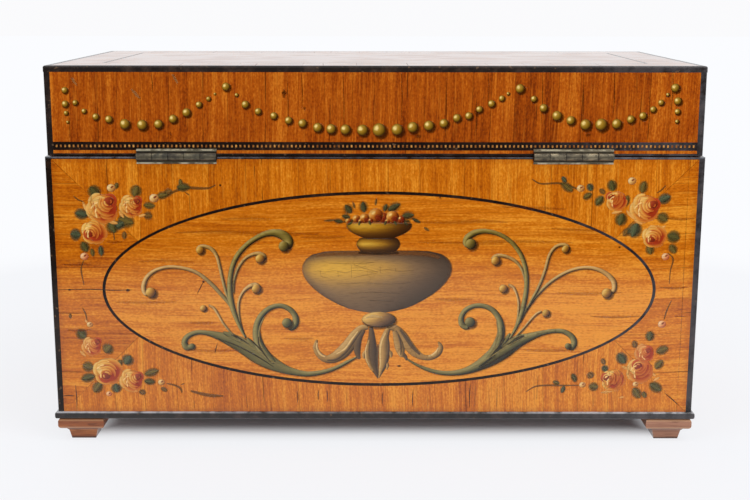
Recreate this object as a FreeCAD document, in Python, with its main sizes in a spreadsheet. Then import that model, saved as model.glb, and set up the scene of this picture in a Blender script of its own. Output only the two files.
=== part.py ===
"""A painted satinwood box with a hinged lid, of the kind made to hold tea.

A dovetailed mahogany carcass is veneered with crossbanded satinwood round an oval panel on each side,
edged with square ebony stringing, set on an ebonised plinth and four stepped feet. The lid turns on two
brass butt hinges at the back and is held by a small box lock at the front.

Frame: the origin is on the floor under the middle of the box, +Z is up and the front faces -Y.
"""
import FreeCAD, Part
import os
import re

doc = FreeCAD.newDocument("painted_box")

# Driving sizes, in millimetres
SIZES = {
    # outside of the veneered case and of the lid
    "case_width": 315.5,
    "case_depth": 155.0,
    "case_height": 127.4,
    "lid_height": 42.5,
    "lid_inset": 1.1,
    "rim_gap": 0.6,
    # carcass and its dovetails
    "board": 8.0,
    "lid_board": 8.0,
    "bottom_board": 3.7,
    "tail_slope": 6.0,
    "tail_share": 0.3,
    # veneer, bands and stringing
    "veneer": 1.0,
    "veneer_joint": 0.05,
    "edge_string": 3.0,
    "edge_round": 0.9,
    "rim_line": 1.0,
    "oval_end_margin": 19.8,
    "oval_edge_margin": 14.4,
    "back_oval_shift": 2.0,
    "back_oval_drop": 1.1,
    "oval_string": 1.5,
    "lid_band": 4.0,
    "lid_strip": 1.5,
    "top_band": 20.0,
    # plinth and feet
    "plinth_width": 6.0,
    "plinth_overhang": 1.3,
    "plinth_round": 1.2,
    "foot_height": 12.1,
    "foot_pad": 22.8,
    "foot_pad_height": 5.7,
    "foot_round": 2.0,
    "foot_flare": 17.2,
    "foot_flare_height": 1.8,
    "foot_block": 14.0,
    "foot_toe": 12.0,
    "foot_inset": 1.0,
    # hinges
    "hinge_length": 38.1,
    "hinge_from_end": 44.0,
    "hinge_barrel": 3.8,
    "hinge_out": 0.9,
    "hinge_pin": 1.8,
    "leaf_width": 9.6,
    "leaf_thickness": 3.2,
    "knuckle_gap": 0.15,
    "running_gap": 0.05,
    "barrel_room": 0.35,
    # lock
    "lock_width": 44.0,
    "lock_drop": 18.0,
    "lock_depth": 5.0,
    "lock_wall": 0.8,
    "selvedge_length": 58.0,
    "selvedge_width": 6.0,
    "selvedge": 1.5,
    "hook_spacing": 20.0,
    "hook_drop": 6.0,
    "hook_stem": 2.6,
    "hook_barb": 3.0,
    "hook_barb_height": 1.6,
    "hook_thickness": 2.0,
    "lock_room": 0.4,
    "bolt_nose": 1.9,
    "bolt_bar": 2.8,
    "bolt_post": 3.0,
    "key_drop": 11.8,
    "key_barrel": 3.4,
    "key_bit": 4.2,
    "key_bit_width": 1.6,
    "key_pin": 1.6,
    "escutcheon_width": 9.0,
    "escutcheon_height": 12.4,
}
CASE_TAILS = 4
LID_TAILS = 1
KNUCKLES = 5

sheet = doc.addObject("Spreadsheet::Sheet", "dims")
for row, (alias, value) in enumerate(SIZES.items(), start=1):
    sheet.set(f"A{row}", alias)
    sheet.set(f"B{row}", str(value))
    sheet.setAlias(f"B{row}", alias)
doc.recompute()

# Levels and reaches that many pieces share, as formulas of the sizes
CASE_X = "(case_width / 2)"
CASE_Y = "(case_depth / 2)"
LID_X = f"({CASE_X} - lid_inset)"
LID_Y = f"({CASE_Y} - lid_inset)"
FLOOR = "(foot_height + bottom_board)"
RIM = f"({FLOOR} + case_height)"
LID_RIM = f"({RIM} + rim_gap)"
LID_TOP = f"({LID_RIM} + lid_height)"
LID_SIDES_TOP = f"({LID_TOP} - veneer - lid_board)"
AXIS_Y = f"({CASE_Y} + hinge_out)"
AXIS_Z = f"({RIM} + rim_gap / 2)"
FRONT_IN = f"(-{CASE_Y} + veneer + board)"

UP = FreeCAD.Vector(0, 0, 1)
DOWN = FreeCAD.Vector(0, 0, -1)
OUTWARD = {
    "front": FreeCAD.Vector(0, -1, 0),
    "back": FreeCAD.Vector(0, 1, 0),
    "left": FreeCAD.Vector(-1, 0, 0),
    "right": FreeCAD.Vector(1, 0, 0),
}
pieces = {}


# Helpers that make bound objects

def sized(formula):
    """The formula with every size in it read from the sheet."""
    return re.sub(r"[a-z]\w*", lambda word: ("dims." if word[0] in SIZES else "") + word[0], str(formula))


def bind(thing, **formulas):
    for name, formula in formulas.items():
        thing.setExpression(name, sized(formula))
    return thing


def place(thing, at, axes=None):
    """Puts a thing at a point of three formulas, with its own X and Y along the two axes given."""
    if axes:
        x_axis, y_axis = axes
        z_axis = x_axis.cross(y_axis)
        thing.Placement.Rotation = FreeCAD.Rotation(FreeCAD.Matrix(
            x_axis.x, y_axis.x, z_axis.x, 0,
            x_axis.y, y_axis.y, z_axis.y, 0,
            x_axis.z, y_axis.z, z_axis.z, 0,
            0, 0, 0, 1))
    for letter, formula in zip("xyz", at):
        thing.setExpression(f"Placement.Base.{letter}", sized(formula))
    return thing


def block(name, x, y, z):
    """A box between two formulas on each axis."""
    made = doc.addObject("Part::Box", name)
    low, high = zip(x, y, z)
    for side, start, end in zip(("Length", "Width", "Height"), low, high):
        made.setExpression(side, sized(f"({end}) - ({start})"))
    return place(made, (x[0], y[0], z[0]))


def rod(name, radius, length, at, along):
    """A round bar that starts at a point and runs along an axis."""
    made = doc.addObject("Part::Cylinder", name)
    bind(made, Radius=radius, Height=length)
    across = FreeCAD.Vector(along.y, along.z, along.x)
    return place(made, at, (across, along.cross(across)))


def slanted(name, outer, inner, width, thickness, at, inplane, outward):
    """A flat strip whose ends slant: its outer edge is twice outer long, its inner edge, width away, twice inner.

    The point is the middle of the outer edge, on the strip's back face."""
    made = doc.addObject("Part::Wedge", name)
    bind(made, Xmin=f"-({outer})", Xmax=outer, X2min=f"-({inner})", X2max=inner, Ymin="0", Ymax=width,
         Zmin="0", Zmax=thickness, Z2min="0", Z2max=thickness)
    return place(made, at, (inplane.cross(outward), inplane))


def fuse(name, parts):
    made = doc.addObject("Part::MultiFuse", name)
    made.Shapes = parts
    made.Refine = True
    return made


def cut(name, base, tools):
    made = doc.addObject("Part::Cut", name)
    made.Base = base
    made.Tool = tools[0] if len(tools) == 1 else fuse(name + "_tools", tools)
    return made


def group(name, parts):
    made = doc.addObject("Part::Compound", name)
    made.Links = parts
    return made


def rounded(name, base, radius, chosen):
    """The base with the edges for which chosen(edge) is true rounded off."""
    doc.recompute()
    made = doc.addObject("Part::Fillet", name)
    made.Base = base
    size = getattr(sheet, radius)
    made.Edges = [(n, size, size) for n, edge in enumerate(base.Shape.Edges, start=1) if chosen(edge)]
    return made


def piece(label, made):
    made.Label = label
    pieces[label] = made
    return made


def both(half):
    """A range that runs the same way to either side of the middle."""
    return f"-({half})", half


def wall(outward, near, far):
    """A range on the outward axis from near to far away from the middle, low end first."""
    sign = outward.x + outward.y
    return (near, far) if sign > 0 else (f"-({far})", f"-({near})")


def sheet_on(name, outward, half, z, near, far):
    """An upright board or strip that faces outward: half its length each way, and between near and far out."""
    if outward.y:
        return block(name, both(half), wall(outward, near, far), z)
    return block(name, wall(outward, near, far), both(half), z)


def spot(outward, out, along, z):
    """The point that is out away from the middle, and along to the side."""
    side = outward.cross(UP)
    return [f"{o:g} * ({out}) + {s:g} * ({along})" for o, s in ((outward.x, side.x), (outward.y, side.y))] + [z]


def reach(outward, x, y):
    return x if outward.x else y


# Hinge and lock openings, which the boards and veneers are cut by

HINGE_CENTRES = {name: f"({sign} * ({CASE_X} - hinge_from_end - hinge_length / 2))"
                 for name, sign in (("left", -1), ("right", 1))}
KNUCKLE = f"((hinge_length - {KNUCKLES - 1} * knuckle_gap) / {KNUCKLES})"
EAST = FreeCAD.Vector(1, 0, 0)
NORTH = FreeCAD.Vector(0, 1, 0)


def hinge_opening(name, low, high):
    """The shallow seat of one leaf between two levels, with room behind it for the barrel."""
    tools = []
    for side, centre in HINGE_CENTRES.items():
        ends = f"{centre} - hinge_length / 2", f"{centre} + hinge_length / 2"
        tools.append(block(f"{name}_{side}_seat", ends, (f"{AXIS_Y} - leaf_width", AXIS_Y), (low, high)))
        start = f"{ends[0]} - barrel_room", AXIS_Y, AXIS_Z
        tools.append(rod(f"{name}_{side}_room", "hinge_barrel / 2 + barrel_room",
                         "hinge_length + 2 * barrel_room", start, EAST))
    return tools


case_hinge_opening = hinge_opening("case_hinge_opening", f"{RIM} - leaf_thickness", AXIS_Z)
lid_hinge_opening = hinge_opening("lid_hinge_opening", AXIS_Z, f"{LID_RIM} + leaf_thickness")

SELVEDGE_Y = (f"{FRONT_IN} - selvedge_width", FRONT_IN)
LOCK_Y = (f"{FRONT_IN} - lock_depth", FRONT_IN)
LOCK_MIDDLE_Y = f"({FRONT_IN} - lock_depth / 2)"
KEY_Z = f"({RIM} - key_drop)"
ESCUTCHEON_Z = f"({KEY_Z} - key_bit / 2 + key_barrel / 4)"

lock_mortise = [
    block("lock_mortise", both("lock_width / 2"), LOCK_Y, (f"{RIM} - lock_drop", RIM)),
    block("selvedge_seat", both("selvedge_length / 2"), SELVEDGE_Y, (f"{RIM} - selvedge", RIM)),
]
strike_seat = block("strike_seat", both("selvedge_length / 2"), SELVEDGE_Y,
                    (LID_RIM, f"{LID_RIM} + selvedge"))


def keyhole(name):
    """The round of the key's barrel with the slot of its bit below, through the front."""
    start = f"-{CASE_Y}"
    depth = f"{CASE_Y} + {FRONT_IN} - lock_wall"
    barrel = rod(f"{name}_barrel", "key_barrel / 2", depth, ("0", start, KEY_Z), NORTH)
    bit = block(f"{name}_bit", both("key_bit_width / 2"), (start, f"{start} + {depth}"),
                (f"{KEY_Z} - key_bit", KEY_Z))
    return [barrel, bit]


# Carcass of case and lid: four dovetailed boards each

def dovetails(name, x, y, z, count):
    """The tails on the ends of the front and back boards, with the corner of the box that they fill."""
    pitch = f"(({z[1]} - {z[0]}) / {count})"
    tails = []
    for outward in (OUTWARD["front"], OUTWARD["back"]):
        for end in (OUTWARD["left"], OUTWARD["right"]):
            for n in range(count):
                middle = f"{z[0]} + {n + 0.5} * {pitch}"
                back_face = f"{y} - board" if end.x * outward.y < 0 else y
                at = f"{end.x:g} * ({x})", f"{outward.y:g} * ({back_face})", middle
                half = f"tail_share * {pitch}"
                tails.append(slanted(f"{name}_tail", half, f"{half} - board / tail_slope", "board", "board",
                                     at, -end, end.cross(UP)))
    return tails


def carcass(name, x, y, z, count, openings):
    """Front, back, left and right boards, with the outer corners rebated for the edge stringing."""
    tails = dovetails(name, x, y, z, count)
    per_board = len(tails) // 2
    rebate = "edge_string - veneer"
    corners = []
    for sx in (OUTWARD["left"], OUTWARD["right"]):
        for sy in (OUTWARD["front"], OUTWARD["back"]):
            corners.append(block(f"{name}_corner", wall(sx, f"{x} - ({rebate})", x),
                                 wall(sy, f"{y} - ({rebate})", y), z))
    for n, side in enumerate(("front", "back")):
        bare = sheet_on(f"{name}_{side}_bare", OUTWARD[side], f"{x} - board", z, f"{y} - board", y)
        own = tails[n * per_board:(n + 1) * per_board]
        joined = fuse(f"{name}_{side}_joined", [bare] + own)
        board = cut(f"{name}_{side}", joined, corners + openings.get(side, []))
        piece(f"{name}_{side}_board", board)
    for side in ("left", "right"):
        bare = sheet_on(f"{name}_{side}_bare", OUTWARD[side], y, z, f"{x} - board", x)
        piece(f"{name}_{side}_board", cut(f"{name}_{side}", bare, tails + corners))


carcass("case", f"({CASE_X} - veneer)", f"({CASE_Y} - veneer)", (FLOOR, RIM), CASE_TAILS, {
    "front": lock_mortise + keyhole("board_keyhole"),
    "back": case_hinge_opening,
})
carcass("lid", f"({LID_X} - veneer)", f"({LID_Y} - veneer)", (LID_RIM, LID_SIDES_TOP), LID_TAILS, {
    "front": [strike_seat],
    "back": lid_hinge_opening,
})

# Lid top: one board, rebated round its upper edge and its corners for the stringing
lid_top_low = block("lid_top_low", both(f"{LID_X} - veneer"), both(f"{LID_Y} - veneer"),
                    (LID_SIDES_TOP, f"{LID_TOP} - edge_string"))
lid_top_high = block("lid_top_high", both(f"{LID_X} - edge_string"), both(f"{LID_Y} - edge_string"),
                     (LID_SIDES_TOP, f"{LID_TOP} - veneer"))
lid_top_corners = [
    block("lid_top_corner", wall(sx, f"{LID_X} - edge_string", LID_X), wall(sy, f"{LID_Y} - edge_string", LID_Y),
          (LID_SIDES_TOP, LID_TOP))
    for sx in (OUTWARD["left"], OUTWARD["right"]) for sy in (OUTWARD["front"], OUTWARD["back"])
]
piece("lid_top_board", cut("lid_top", fuse("lid_top_whole", [lid_top_low, lid_top_high]), lid_top_corners))

# Bottom board, which fills the space inside the plinth
FOOT_CENTRE_X = f"({CASE_X} + plinth_overhang - foot_inset - foot_pad / 2)"
FOOT_CENTRE_Y = f"({CASE_Y} + plinth_overhang - foot_inset - foot_pad / 2)"
PLINTH_IN_X = f"({CASE_X} + plinth_overhang - plinth_width)"
PLINTH_IN_Y = f"({CASE_Y} + plinth_overhang - plinth_width)"
FEET = {f"{sy}_{sx}": (OUTWARD[sx], OUTWARD[sy]) for sy in ("front", "back") for sx in ("left", "right")}

piece("bottom_board", block("bottom", both(PLINTH_IN_X), both(PLINTH_IN_Y), ("foot_height", FLOOR)))


# Plinth: four lengths of ebonised nosing, mitred at the corners

def nosing(side):
    outward = OUTWARD[side]
    half = f"({reach(outward, CASE_Y, CASE_X)} + plinth_overhang)"
    face = f"({reach(outward, CASE_X, CASE_Y)} + plinth_overhang)"
    body = doc.addObject("PartDesign::Body", f"plinth_{side}_bar")
    bar = body.newObject("PartDesign::AdditiveBox", f"plinth_{side}_stock")
    bind(bar, Length=f"2 * {half}", Width="plinth_width", Height="bottom_board")
    doc.recompute()
    nose = [f"Edge{n}" for n, edge in enumerate(bar.Shape.Edges, start=1)
            if all(abs(v.Y - bar.Width.Value) < 1e-6 for v in edge.Vertexes) and edge.tangentAt(0).x]
    soft = body.newObject("PartDesign::Fillet", f"plinth_{side}_nose")
    soft.Base = (bar, nose)
    bind(soft, Radius="min(plinth_round; bottom_board * 0.4)")
    along = outward.cross(UP)
    place(body, spot(outward, f"{face} - plinth_width", f"-{half}", "foot_height"), (along, outward))
    mitre = slanted(f"plinth_{side}_mitre", half, f"{half} - plinth_width", "plinth_width", "bottom_board",
                    spot(outward, face, "0", "foot_height"), -outward, UP)
    made = doc.addObject("Part::Common", f"plinth_{side}_length")
    made.Base = body
    made.Tool = mitre
    return made


for side in OUTWARD:
    piece(f"plinth_{side}", nosing(side))


# Feet: a pad with rounded edges, a flare below it and a tapered block

def tapered(body, name, top, bottom, low, height):
    """A square frustum in the body, whose lower end is at a level of the foot."""
    made = body.newObject("PartDesign::AdditiveWedge", name)
    bind(made, Xmin=f"-{bottom} / 2", Xmax=f"{bottom} / 2", Zmin=f"-{bottom} / 2", Zmax=f"{bottom} / 2",
         X2min=f"-{top} / 2", X2max=f"{top} / 2", Z2min=f"-{top} / 2", Z2max=f"{top} / 2", Ymin="0", Ymax=height)
    return place(made, ("0", "0", low), (EAST, UP))


def foot(name, sx, sy):
    body = doc.addObject("PartDesign::Body", f"foot_{name}_body")
    pad = body.newObject("PartDesign::AdditiveBox", f"foot_{name}_pad")
    bind(pad, Length="foot_pad", Width="foot_pad", Height="foot_pad_height")
    place(pad, ("-foot_pad / 2", "-foot_pad / 2", "foot_height - foot_pad_height"))
    doc.recompute()
    level = [f"Edge{n}" for n, edge in enumerate(pad.Shape.Edges, start=1) if not edge.tangentAt(0).z]
    soft = body.newObject("PartDesign::Fillet", f"foot_{name}_round")
    soft.Base = (pad, level)
    bind(soft, Radius="min(foot_round; foot_pad_height * 0.4)")
    block_height = "(foot_height - foot_pad_height - foot_flare_height)"
    tapered(body, f"foot_{name}_flare", "foot_flare", "foot_block", block_height, "foot_flare_height")
    tapered(body, f"foot_{name}_block", "foot_block", "foot_toe", "0", block_height)
    return place(body, (f"{sx.x:g} * {FOOT_CENTRE_X}", f"{sy.y:g} * {FOOT_CENTRE_Y}", "0"))


for name, (sx, sy) in FEET.items():
    piece(f"foot_{name}", foot(name, sx, sy))


# Case veneers: on each side an oval panel in a line of stringing, in a mitred crossbanded frame

PANEL_HIGH = f"({RIM} - rim_line)"
PANEL_MIDDLE = f"(({FLOOR} + {PANEL_HIGH}) / 2)"
PANEL_HALF_HEIGHT = "((case_height - rim_line) / 2)"


def oval(name, outward, half_width, half_height, out, middle, thickness, along="0"):
    """An upright oval disc that faces outward, lying from out to thickness behind it."""
    line = doc.addObject("Part::Ellipse", f"{name}_line")
    bind(line, MajorRadius=f"max({half_width}; {half_height})", MinorRadius=f"min({half_width}; {half_height})")
    side = outward.cross(UP)
    doc.recompute()
    wide = doc.getObject("dims").evalExpression(sized(f"{half_width} - ({half_height})")) >= 0
    place(line, spot(outward, out, along, middle), (side, UP) if wide else (UP, -side))
    disc = doc.addObject("Part::Extrusion", name)
    disc.Base = line
    disc.DirMode = "Custom"
    disc.Dir = -outward
    disc.Solid = True
    bind(disc, LengthFwd=thickness)
    return disc


escutcheon_blank = oval("escutcheon_blank", OUTWARD["front"], "escutcheon_width / 2", "escutcheon_height / 2",
                        CASE_Y, ESCUTCHEON_Z, "veneer")


def face_veneers(side, tools):
    """Crossbanding, oval stringing and oval panel of one side, cut by the tools given."""
    outward = OUTWARD[side]
    half = f"({reach(outward, CASE_Y, CASE_X)} - edge_string)"
    face = reach(outward, CASE_X, CASE_Y)
    bed = f"{face} - veneer"
    oval_half = f"({half} - oval_end_margin)"
    oval_half_height = f"({PANEL_HALF_HEIGHT} - oval_edge_margin)"
    depth = f"(0.9 * min({half}; {PANEL_HALF_HEIGHT}))"

    seen = side == "back"
    middle = f"({PANEL_MIDDLE} - back_oval_drop)" if seen else PANEL_MIDDLE
    along = "-back_oval_shift" if seen else "0"

    outer = oval(f"{side}_oval_outer", outward, oval_half, oval_half_height, face, middle, "veneer", along)
    inner = oval(f"{side}_oval_inner", outward, f"{oval_half} - oval_string", f"{oval_half_height} - oval_string",
                 face, middle, "veneer", along)
    across = outward.cross(UP)
    edges = {
        "top": (half, spot(outward, bed, "0", PANEL_HIGH), DOWN),
        "bottom": (half, spot(outward, bed, "0", FLOOR), UP),
        "near": (PANEL_HALF_HEIGHT, spot(outward, bed, f"-{half}", PANEL_MIDDLE), across),
        "far": (PANEL_HALF_HEIGHT, spot(outward, bed, half, PANEL_MIDDLE), -across),
    }
    bands = []
    for edge, (length, at, inplane) in edges.items():
        cut_length = f"({length} - veneer_joint)"
        blank = slanted(f"{side}_{edge}_blank", cut_length, f"{cut_length} - {depth}", depth, "veneer",
                        at, inplane, outward)
        own_tools = tools if edge == "top" else []
        bands.append(cut(f"{side}_{edge}_band", blank, [outer] + own_tools))
    piece(f"{side}_crossbanding", group(f"{side}_bands", bands))
    ring_tools = [inner] + (tools if side == "front" else [])
    piece(f"{side}_oval_stringing", cut(f"{side}_ring", outer, ring_tools))
    if side == "front":
        inner = cut("front_oval_pierced", inner, tools)
    piece(f"{side}_oval_panel", inner)


for side in OUTWARD:
    face_veneers(side, {"front": [escutcheon_blank], "back": case_hinge_opening}.get(side, []))


# Edge stringing of the case: a square string up each corner and a thin line under the rim

def corner_strings(name, x, y, z):
    strings = []
    for sx in (OUTWARD["left"], OUTWARD["right"]):
        for sy in (OUTWARD["front"], OUTWARD["back"]):
            square = block(f"{name}_square", wall(sx, f"{x} - edge_string", x), wall(sy, f"{y} - edge_string", y), z)
            doc.recompute()
            arris = square.Shape.BoundBox

            def outer_arris(edge, sx=sx, sy=sy, arris=arris):
                x_out = arris.XMax if sx.x > 0 else arris.XMin
                y_out = arris.YMax if sy.y > 0 else arris.YMin
                return all(abs(v.X - x_out) + abs(v.Y - y_out) < 1e-6 for v in edge.Vertexes)

            strings.append(rounded(f"{name}_string", square, "edge_round", outer_arris))
    return strings


def rim_lines(name, x, y, z, tools):
    """The thin line along each side, between the corner strings, cut by the tools at the back."""
    lines = []
    for side, outward in OUTWARD.items():
        face = reach(outward, x, y)
        half = f"{reach(outward, y, x)} - edge_string"
        line = sheet_on(f"{name}_{side}", outward, half, z, f"{face} - veneer", face)
        lines.append(cut(f"{name}_{side}_seated", line, tools) if side == "back" else line)
    return lines


case_lines = rim_lines("case_rim_line", CASE_X, CASE_Y, (PANEL_HIGH, RIM), case_hinge_opening)
piece("case_edge_stringing", group("case_strings", corner_strings("case", CASE_X, CASE_Y, (FLOOR, RIM)) + case_lines))

# Lid veneers: below the stringing a broad sheet, the chequered band and a narrow strip on each side

STRIP_LOW = f"({LID_RIM} + rim_line)"
BAND_LOW = f"({STRIP_LOW} + lid_strip)"
BAND_HIGH = f"({BAND_LOW} + lid_band)"
EDGE_LOW = f"({LID_TOP} - edge_string)"

chequer_bands = []
for side, outward in OUTWARD.items():
    face = reach(outward, LID_X, LID_Y)
    half = f"{reach(outward, LID_Y, LID_X)} - edge_string"
    bed = f"{face} - veneer"
    broad = sheet_on(f"lid_{side}_sheet", outward, half, (BAND_HIGH, EDGE_LOW), bed, face)
    strip = sheet_on(f"lid_{side}_strip", outward, half, (STRIP_LOW, BAND_LOW), bed, face)
    if side == "back":
        strip = cut("lid_back_strip_seated", strip, lid_hinge_opening)
    piece(f"lid_{side}_veneer", group(f"lid_{side}_sheets", [broad, strip]))
    band = sheet_on(f"lid_{side}_chequer", outward, half, (BAND_LOW, BAND_HIGH), bed, face)
    if side == "back":
        band = cut("lid_back_chequer_seated", band, lid_hinge_opening)
    chequer_bands.append(band)
piece("lid_chequer_banding", group("lid_chequers", chequer_bands))


# Lid stringing: round the top edge with mitred corners, down the corners and along the rim

def top_string(side):
    outward = OUTWARD[side]
    half = reach(outward, LID_Y, LID_X)
    face = reach(outward, LID_X, LID_Y)
    strip = slanted(f"lid_{side}_edge", half, f"{half} - edge_string", "edge_string", "edge_string",
                    spot(outward, face, "0", EDGE_LOW), -outward, UP)
    doc.recompute()
    box = strip.Shape.BoundBox

    def outer_arris(edge):
        out = {"front": box.YMin, "back": box.YMax, "left": box.XMin, "right": box.XMax}[side]
        return all(abs(v.Z - box.ZMax) < 1e-6 and abs((v.X if outward.x else v.Y) - out) < 1e-6
                   for v in edge.Vertexes)

    return rounded(f"lid_{side}_edge_string", strip, "edge_round", outer_arris)


lid_strings = [top_string(side) for side in OUTWARD]
lid_strings += corner_strings("lid", LID_X, LID_Y, (LID_RIM, EDGE_LOW))
lid_strings += rim_lines("lid_rim_line", LID_X, LID_Y, (LID_RIM, STRIP_LOW), lid_hinge_opening)
piece("lid_edge_stringing", group("lid_strings", lid_strings))


# Veneer of the lid's top: a panel in a line of stringing, in a mitred crossbanded frame

def mitred_frame(name, x, y, width):
    strips = []
    for side, outward in OUTWARD.items():
        half, face = reach(outward, y, x), reach(outward, x, y)
        strips.append(slanted(f"{name}_{side}", half, f"{half} - {width}", width, "veneer",
                              spot(outward, face, "0", f"{LID_TOP} - veneer"), -outward, UP))
    return group(name, strips)


TOP_X = f"({LID_X} - edge_string)"
TOP_Y = f"({LID_Y} - edge_string)"
piece("lid_top_crossbanding", mitred_frame("top_bands", TOP_X, TOP_Y, "top_band"))
piece("lid_top_stringing", mitred_frame("top_strings", f"({TOP_X} - top_band)", f"({TOP_Y} - top_band)", "oval_string"))
piece("lid_top_panel", block("top_panel", both(f"{TOP_X} - top_band - oval_string"),
                             both(f"{TOP_Y} - top_band - oval_string"), (f"{LID_TOP} - veneer", LID_TOP)))


# Hinges: two leaves whose knuckles interleave round one pin

def leaf(name, centre, z, owns, bore):
    """A thick leaf with the knuckles in owns on its back edge, cleared for the others and bored for the pin."""
    start = f"{centre} - hinge_length / 2"
    plate = block(f"{name}_plate", (start, f"{centre} + hinge_length / 2"),
                  (f"{AXIS_Y} - leaf_width", f"{AXIS_Y} - knuckle_gap"), z)
    kept, cleared = [plate], []
    for n in range(KNUCKLES):
        low = f"{start} + {n} * ({KNUCKLE} + knuckle_gap)"
        if n in owns:
            kept.append(rod(f"{name}_knuckle", "hinge_barrel / 2", KNUCKLE, (low, AXIS_Y, AXIS_Z), EAST))
        else:
            cleared.append(rod(f"{name}_gap", "hinge_barrel / 2 + knuckle_gap", f"{KNUCKLE} + 2 * knuckle_gap",
                               (f"{low} - knuckle_gap", AXIS_Y, AXIS_Z), EAST))
    pin_hole = rod(f"{name}_bore", bore, "hinge_length", (start, AXIS_Y, AXIS_Z), EAST)
    return cut(name, fuse(f"{name}_blank", kept), cleared + [pin_hole])


case_knuckles = range(0, KNUCKLES, 2)
lid_knuckles = range(1, KNUCKLES, 2)
for side, centre in HINGE_CENTRES.items():
    piece(f"hinge_{side}_case_leaf", leaf(
        f"{side}_case_leaf", centre, (f"{RIM} - leaf_thickness", RIM), case_knuckles,
        "hinge_pin / 2 + running_gap / 5"))
    piece(f"hinge_{side}_lid_leaf", leaf(
        f"{side}_lid_leaf", centre, (LID_RIM, f"{LID_RIM} + leaf_thickness"), lid_knuckles,
        "hinge_pin / 2 + running_gap"))
    piece(f"hinge_{side}_pin", rod(f"{side}_pin", "hinge_pin / 2", "hinge_length",
                                   (f"{centre} - hinge_length / 2", AXIS_Y, AXIS_Z), EAST))

# Lock: a case with its selvedge in the rim, a cap with the key's pin, and a bolt with two tongues

HOOKS = [f"({sign} * hook_spacing / 2)" for sign in (-1, 1)]
CAVITY_Y = (f"{LOCK_Y[0]} + lock_wall", f"{FRONT_IN} - lock_wall")
CAVITY_LOW = f"({RIM} - lock_drop + lock_wall)"
HOOK_Y = (f"{LOCK_MIDDLE_Y} - hook_thickness / 2", f"{LOCK_MIDDLE_Y} + hook_thickness / 2")
HOOK_LOW = f"({RIM} - hook_drop)"
BARB_HIGH = f"({HOOK_LOW} + hook_barb_height)"
NOSE_LOW = f"({BARB_HIGH} + lock_room)"
BAR_HIGH = f"({HOOK_LOW} - lock_room)"

lock_shell = block("lock_shell", both("lock_width / 2"), (LOCK_Y[0], CAVITY_Y[1]), (f"{RIM} - lock_drop", RIM))
lock_selvedge = block("lock_selvedge", both("selvedge_length / 2"), SELVEDGE_Y, (f"{RIM} - selvedge", RIM))
lock_cavity = block("lock_cavity", both("lock_width / 2 - lock_wall"), CAVITY_Y, (CAVITY_LOW, f"{RIM} - selvedge"))
hook_slots = [
    block("hook_slot", (f"{hook} - hook_barb - lock_room", f"{hook} + hook_stem + lock_room"),
          (f"{HOOK_Y[0]} - 2 * lock_room", f"{HOOK_Y[1]} + lock_room"), (f"{RIM} - selvedge", RIM))
    for hook in HOOKS
]
piece("lock_case", cut("lock_box", fuse("lock_whole", [lock_shell, lock_selvedge]),
                       [lock_cavity] + hook_slots + keyhole("lock_keyhole")))

lock_plate = block("lock_plate", both("lock_width / 2"), (CAVITY_Y[1], FRONT_IN),
                   (f"{RIM} - lock_drop", f"{RIM} - selvedge"))
key_pin = rod("key_pin", "key_pin / 2", f"{CAVITY_Y[1]} - ({LOCK_Y[0]})", ("0", LOCK_Y[0], KEY_Z), NORTH)
piece("lock_cap", fuse("lock_cap_and_pin", [lock_plate, key_pin]))

BOLT_Y = (f"{CAVITY_Y[0]} + lock_room", f"{CAVITY_Y[1]} - lock_room")
BAR_LOW = f"({BAR_HIGH} - bolt_bar)"
TONGUE_ENDS = [(f"{hook} - 2 * hook_barb - lock_room - bolt_post", f"{hook} - hook_barb - lock_room")
               for hook in HOOKS]
bolt_parts = [block("bolt_bar_stock", (TONGUE_ENDS[0][0], TONGUE_ENDS[1][1]), BOLT_Y, (BAR_LOW, BAR_HIGH))]
for low, high in TONGUE_ENDS:
    bolt_parts.append(block("bolt_post_stock", (low, f"{low} + bolt_post"), BOLT_Y,
                            (BAR_HIGH, f"{NOSE_LOW} + bolt_nose")))
    bolt_parts.append(block("bolt_nose_stock", (low, high), BOLT_Y, (NOSE_LOW, f"{NOSE_LOW} + bolt_nose")))
talon = block("bolt_talon", both("key_bit_width"), BOLT_Y, (BAR_LOW, f"{KEY_Z} + key_bit"))
piece("lock_bolt", cut("bolt", fuse("bolt_stock", bolt_parts), [talon]))

piece("keyhole_escutcheon", cut("escutcheon", escutcheon_blank, keyhole("escutcheon_keyhole")))

# Strike plate of the lid, with the two hooks that drop into the lock
strike_parts = [block("strike_bar", both("selvedge_length / 2"), SELVEDGE_Y, (LID_RIM, f"{LID_RIM} + selvedge"))]
for hook in HOOKS:
    strike_parts.append(block("hook_stem_stock", (hook, f"{hook} + hook_stem"), HOOK_Y, (HOOK_LOW, LID_RIM)))
    strike_parts.append(block("hook_barb_stock", (f"{hook} - hook_barb", hook), HOOK_Y, (HOOK_LOW, BARB_HIGH)))
piece("strike_plate", fuse("strike", strike_parts))

# Check every object, then write one file for each piece
doc.recompute()
for thing in doc.Objects:
    if {"Invalid", "Error"} & set(thing.State):
        raise RuntimeError(f"{thing.Name} ({thing.Label}) failed: {thing.State}")
for label, made in pieces.items():
    if made.Shape.isNull() or not made.Shape.isValid() or not made.Shape.Solids:
        raise RuntimeError(f"{label} has no valid solid")

os.makedirs("parts", exist_ok=True)
for label, made in pieces.items():
    made.Shape.exportStep(f"parts/{label}.step")
print(len(pieces), "pieces,", sum(len(made.Shape.Solids) for made in pieces.values()), "solids")
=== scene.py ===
"""Looks of a painted satinwood box with a hinged lid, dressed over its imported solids."""
import bmesh
import bpy
import math
from mathutils import Matrix, Vector

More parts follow.
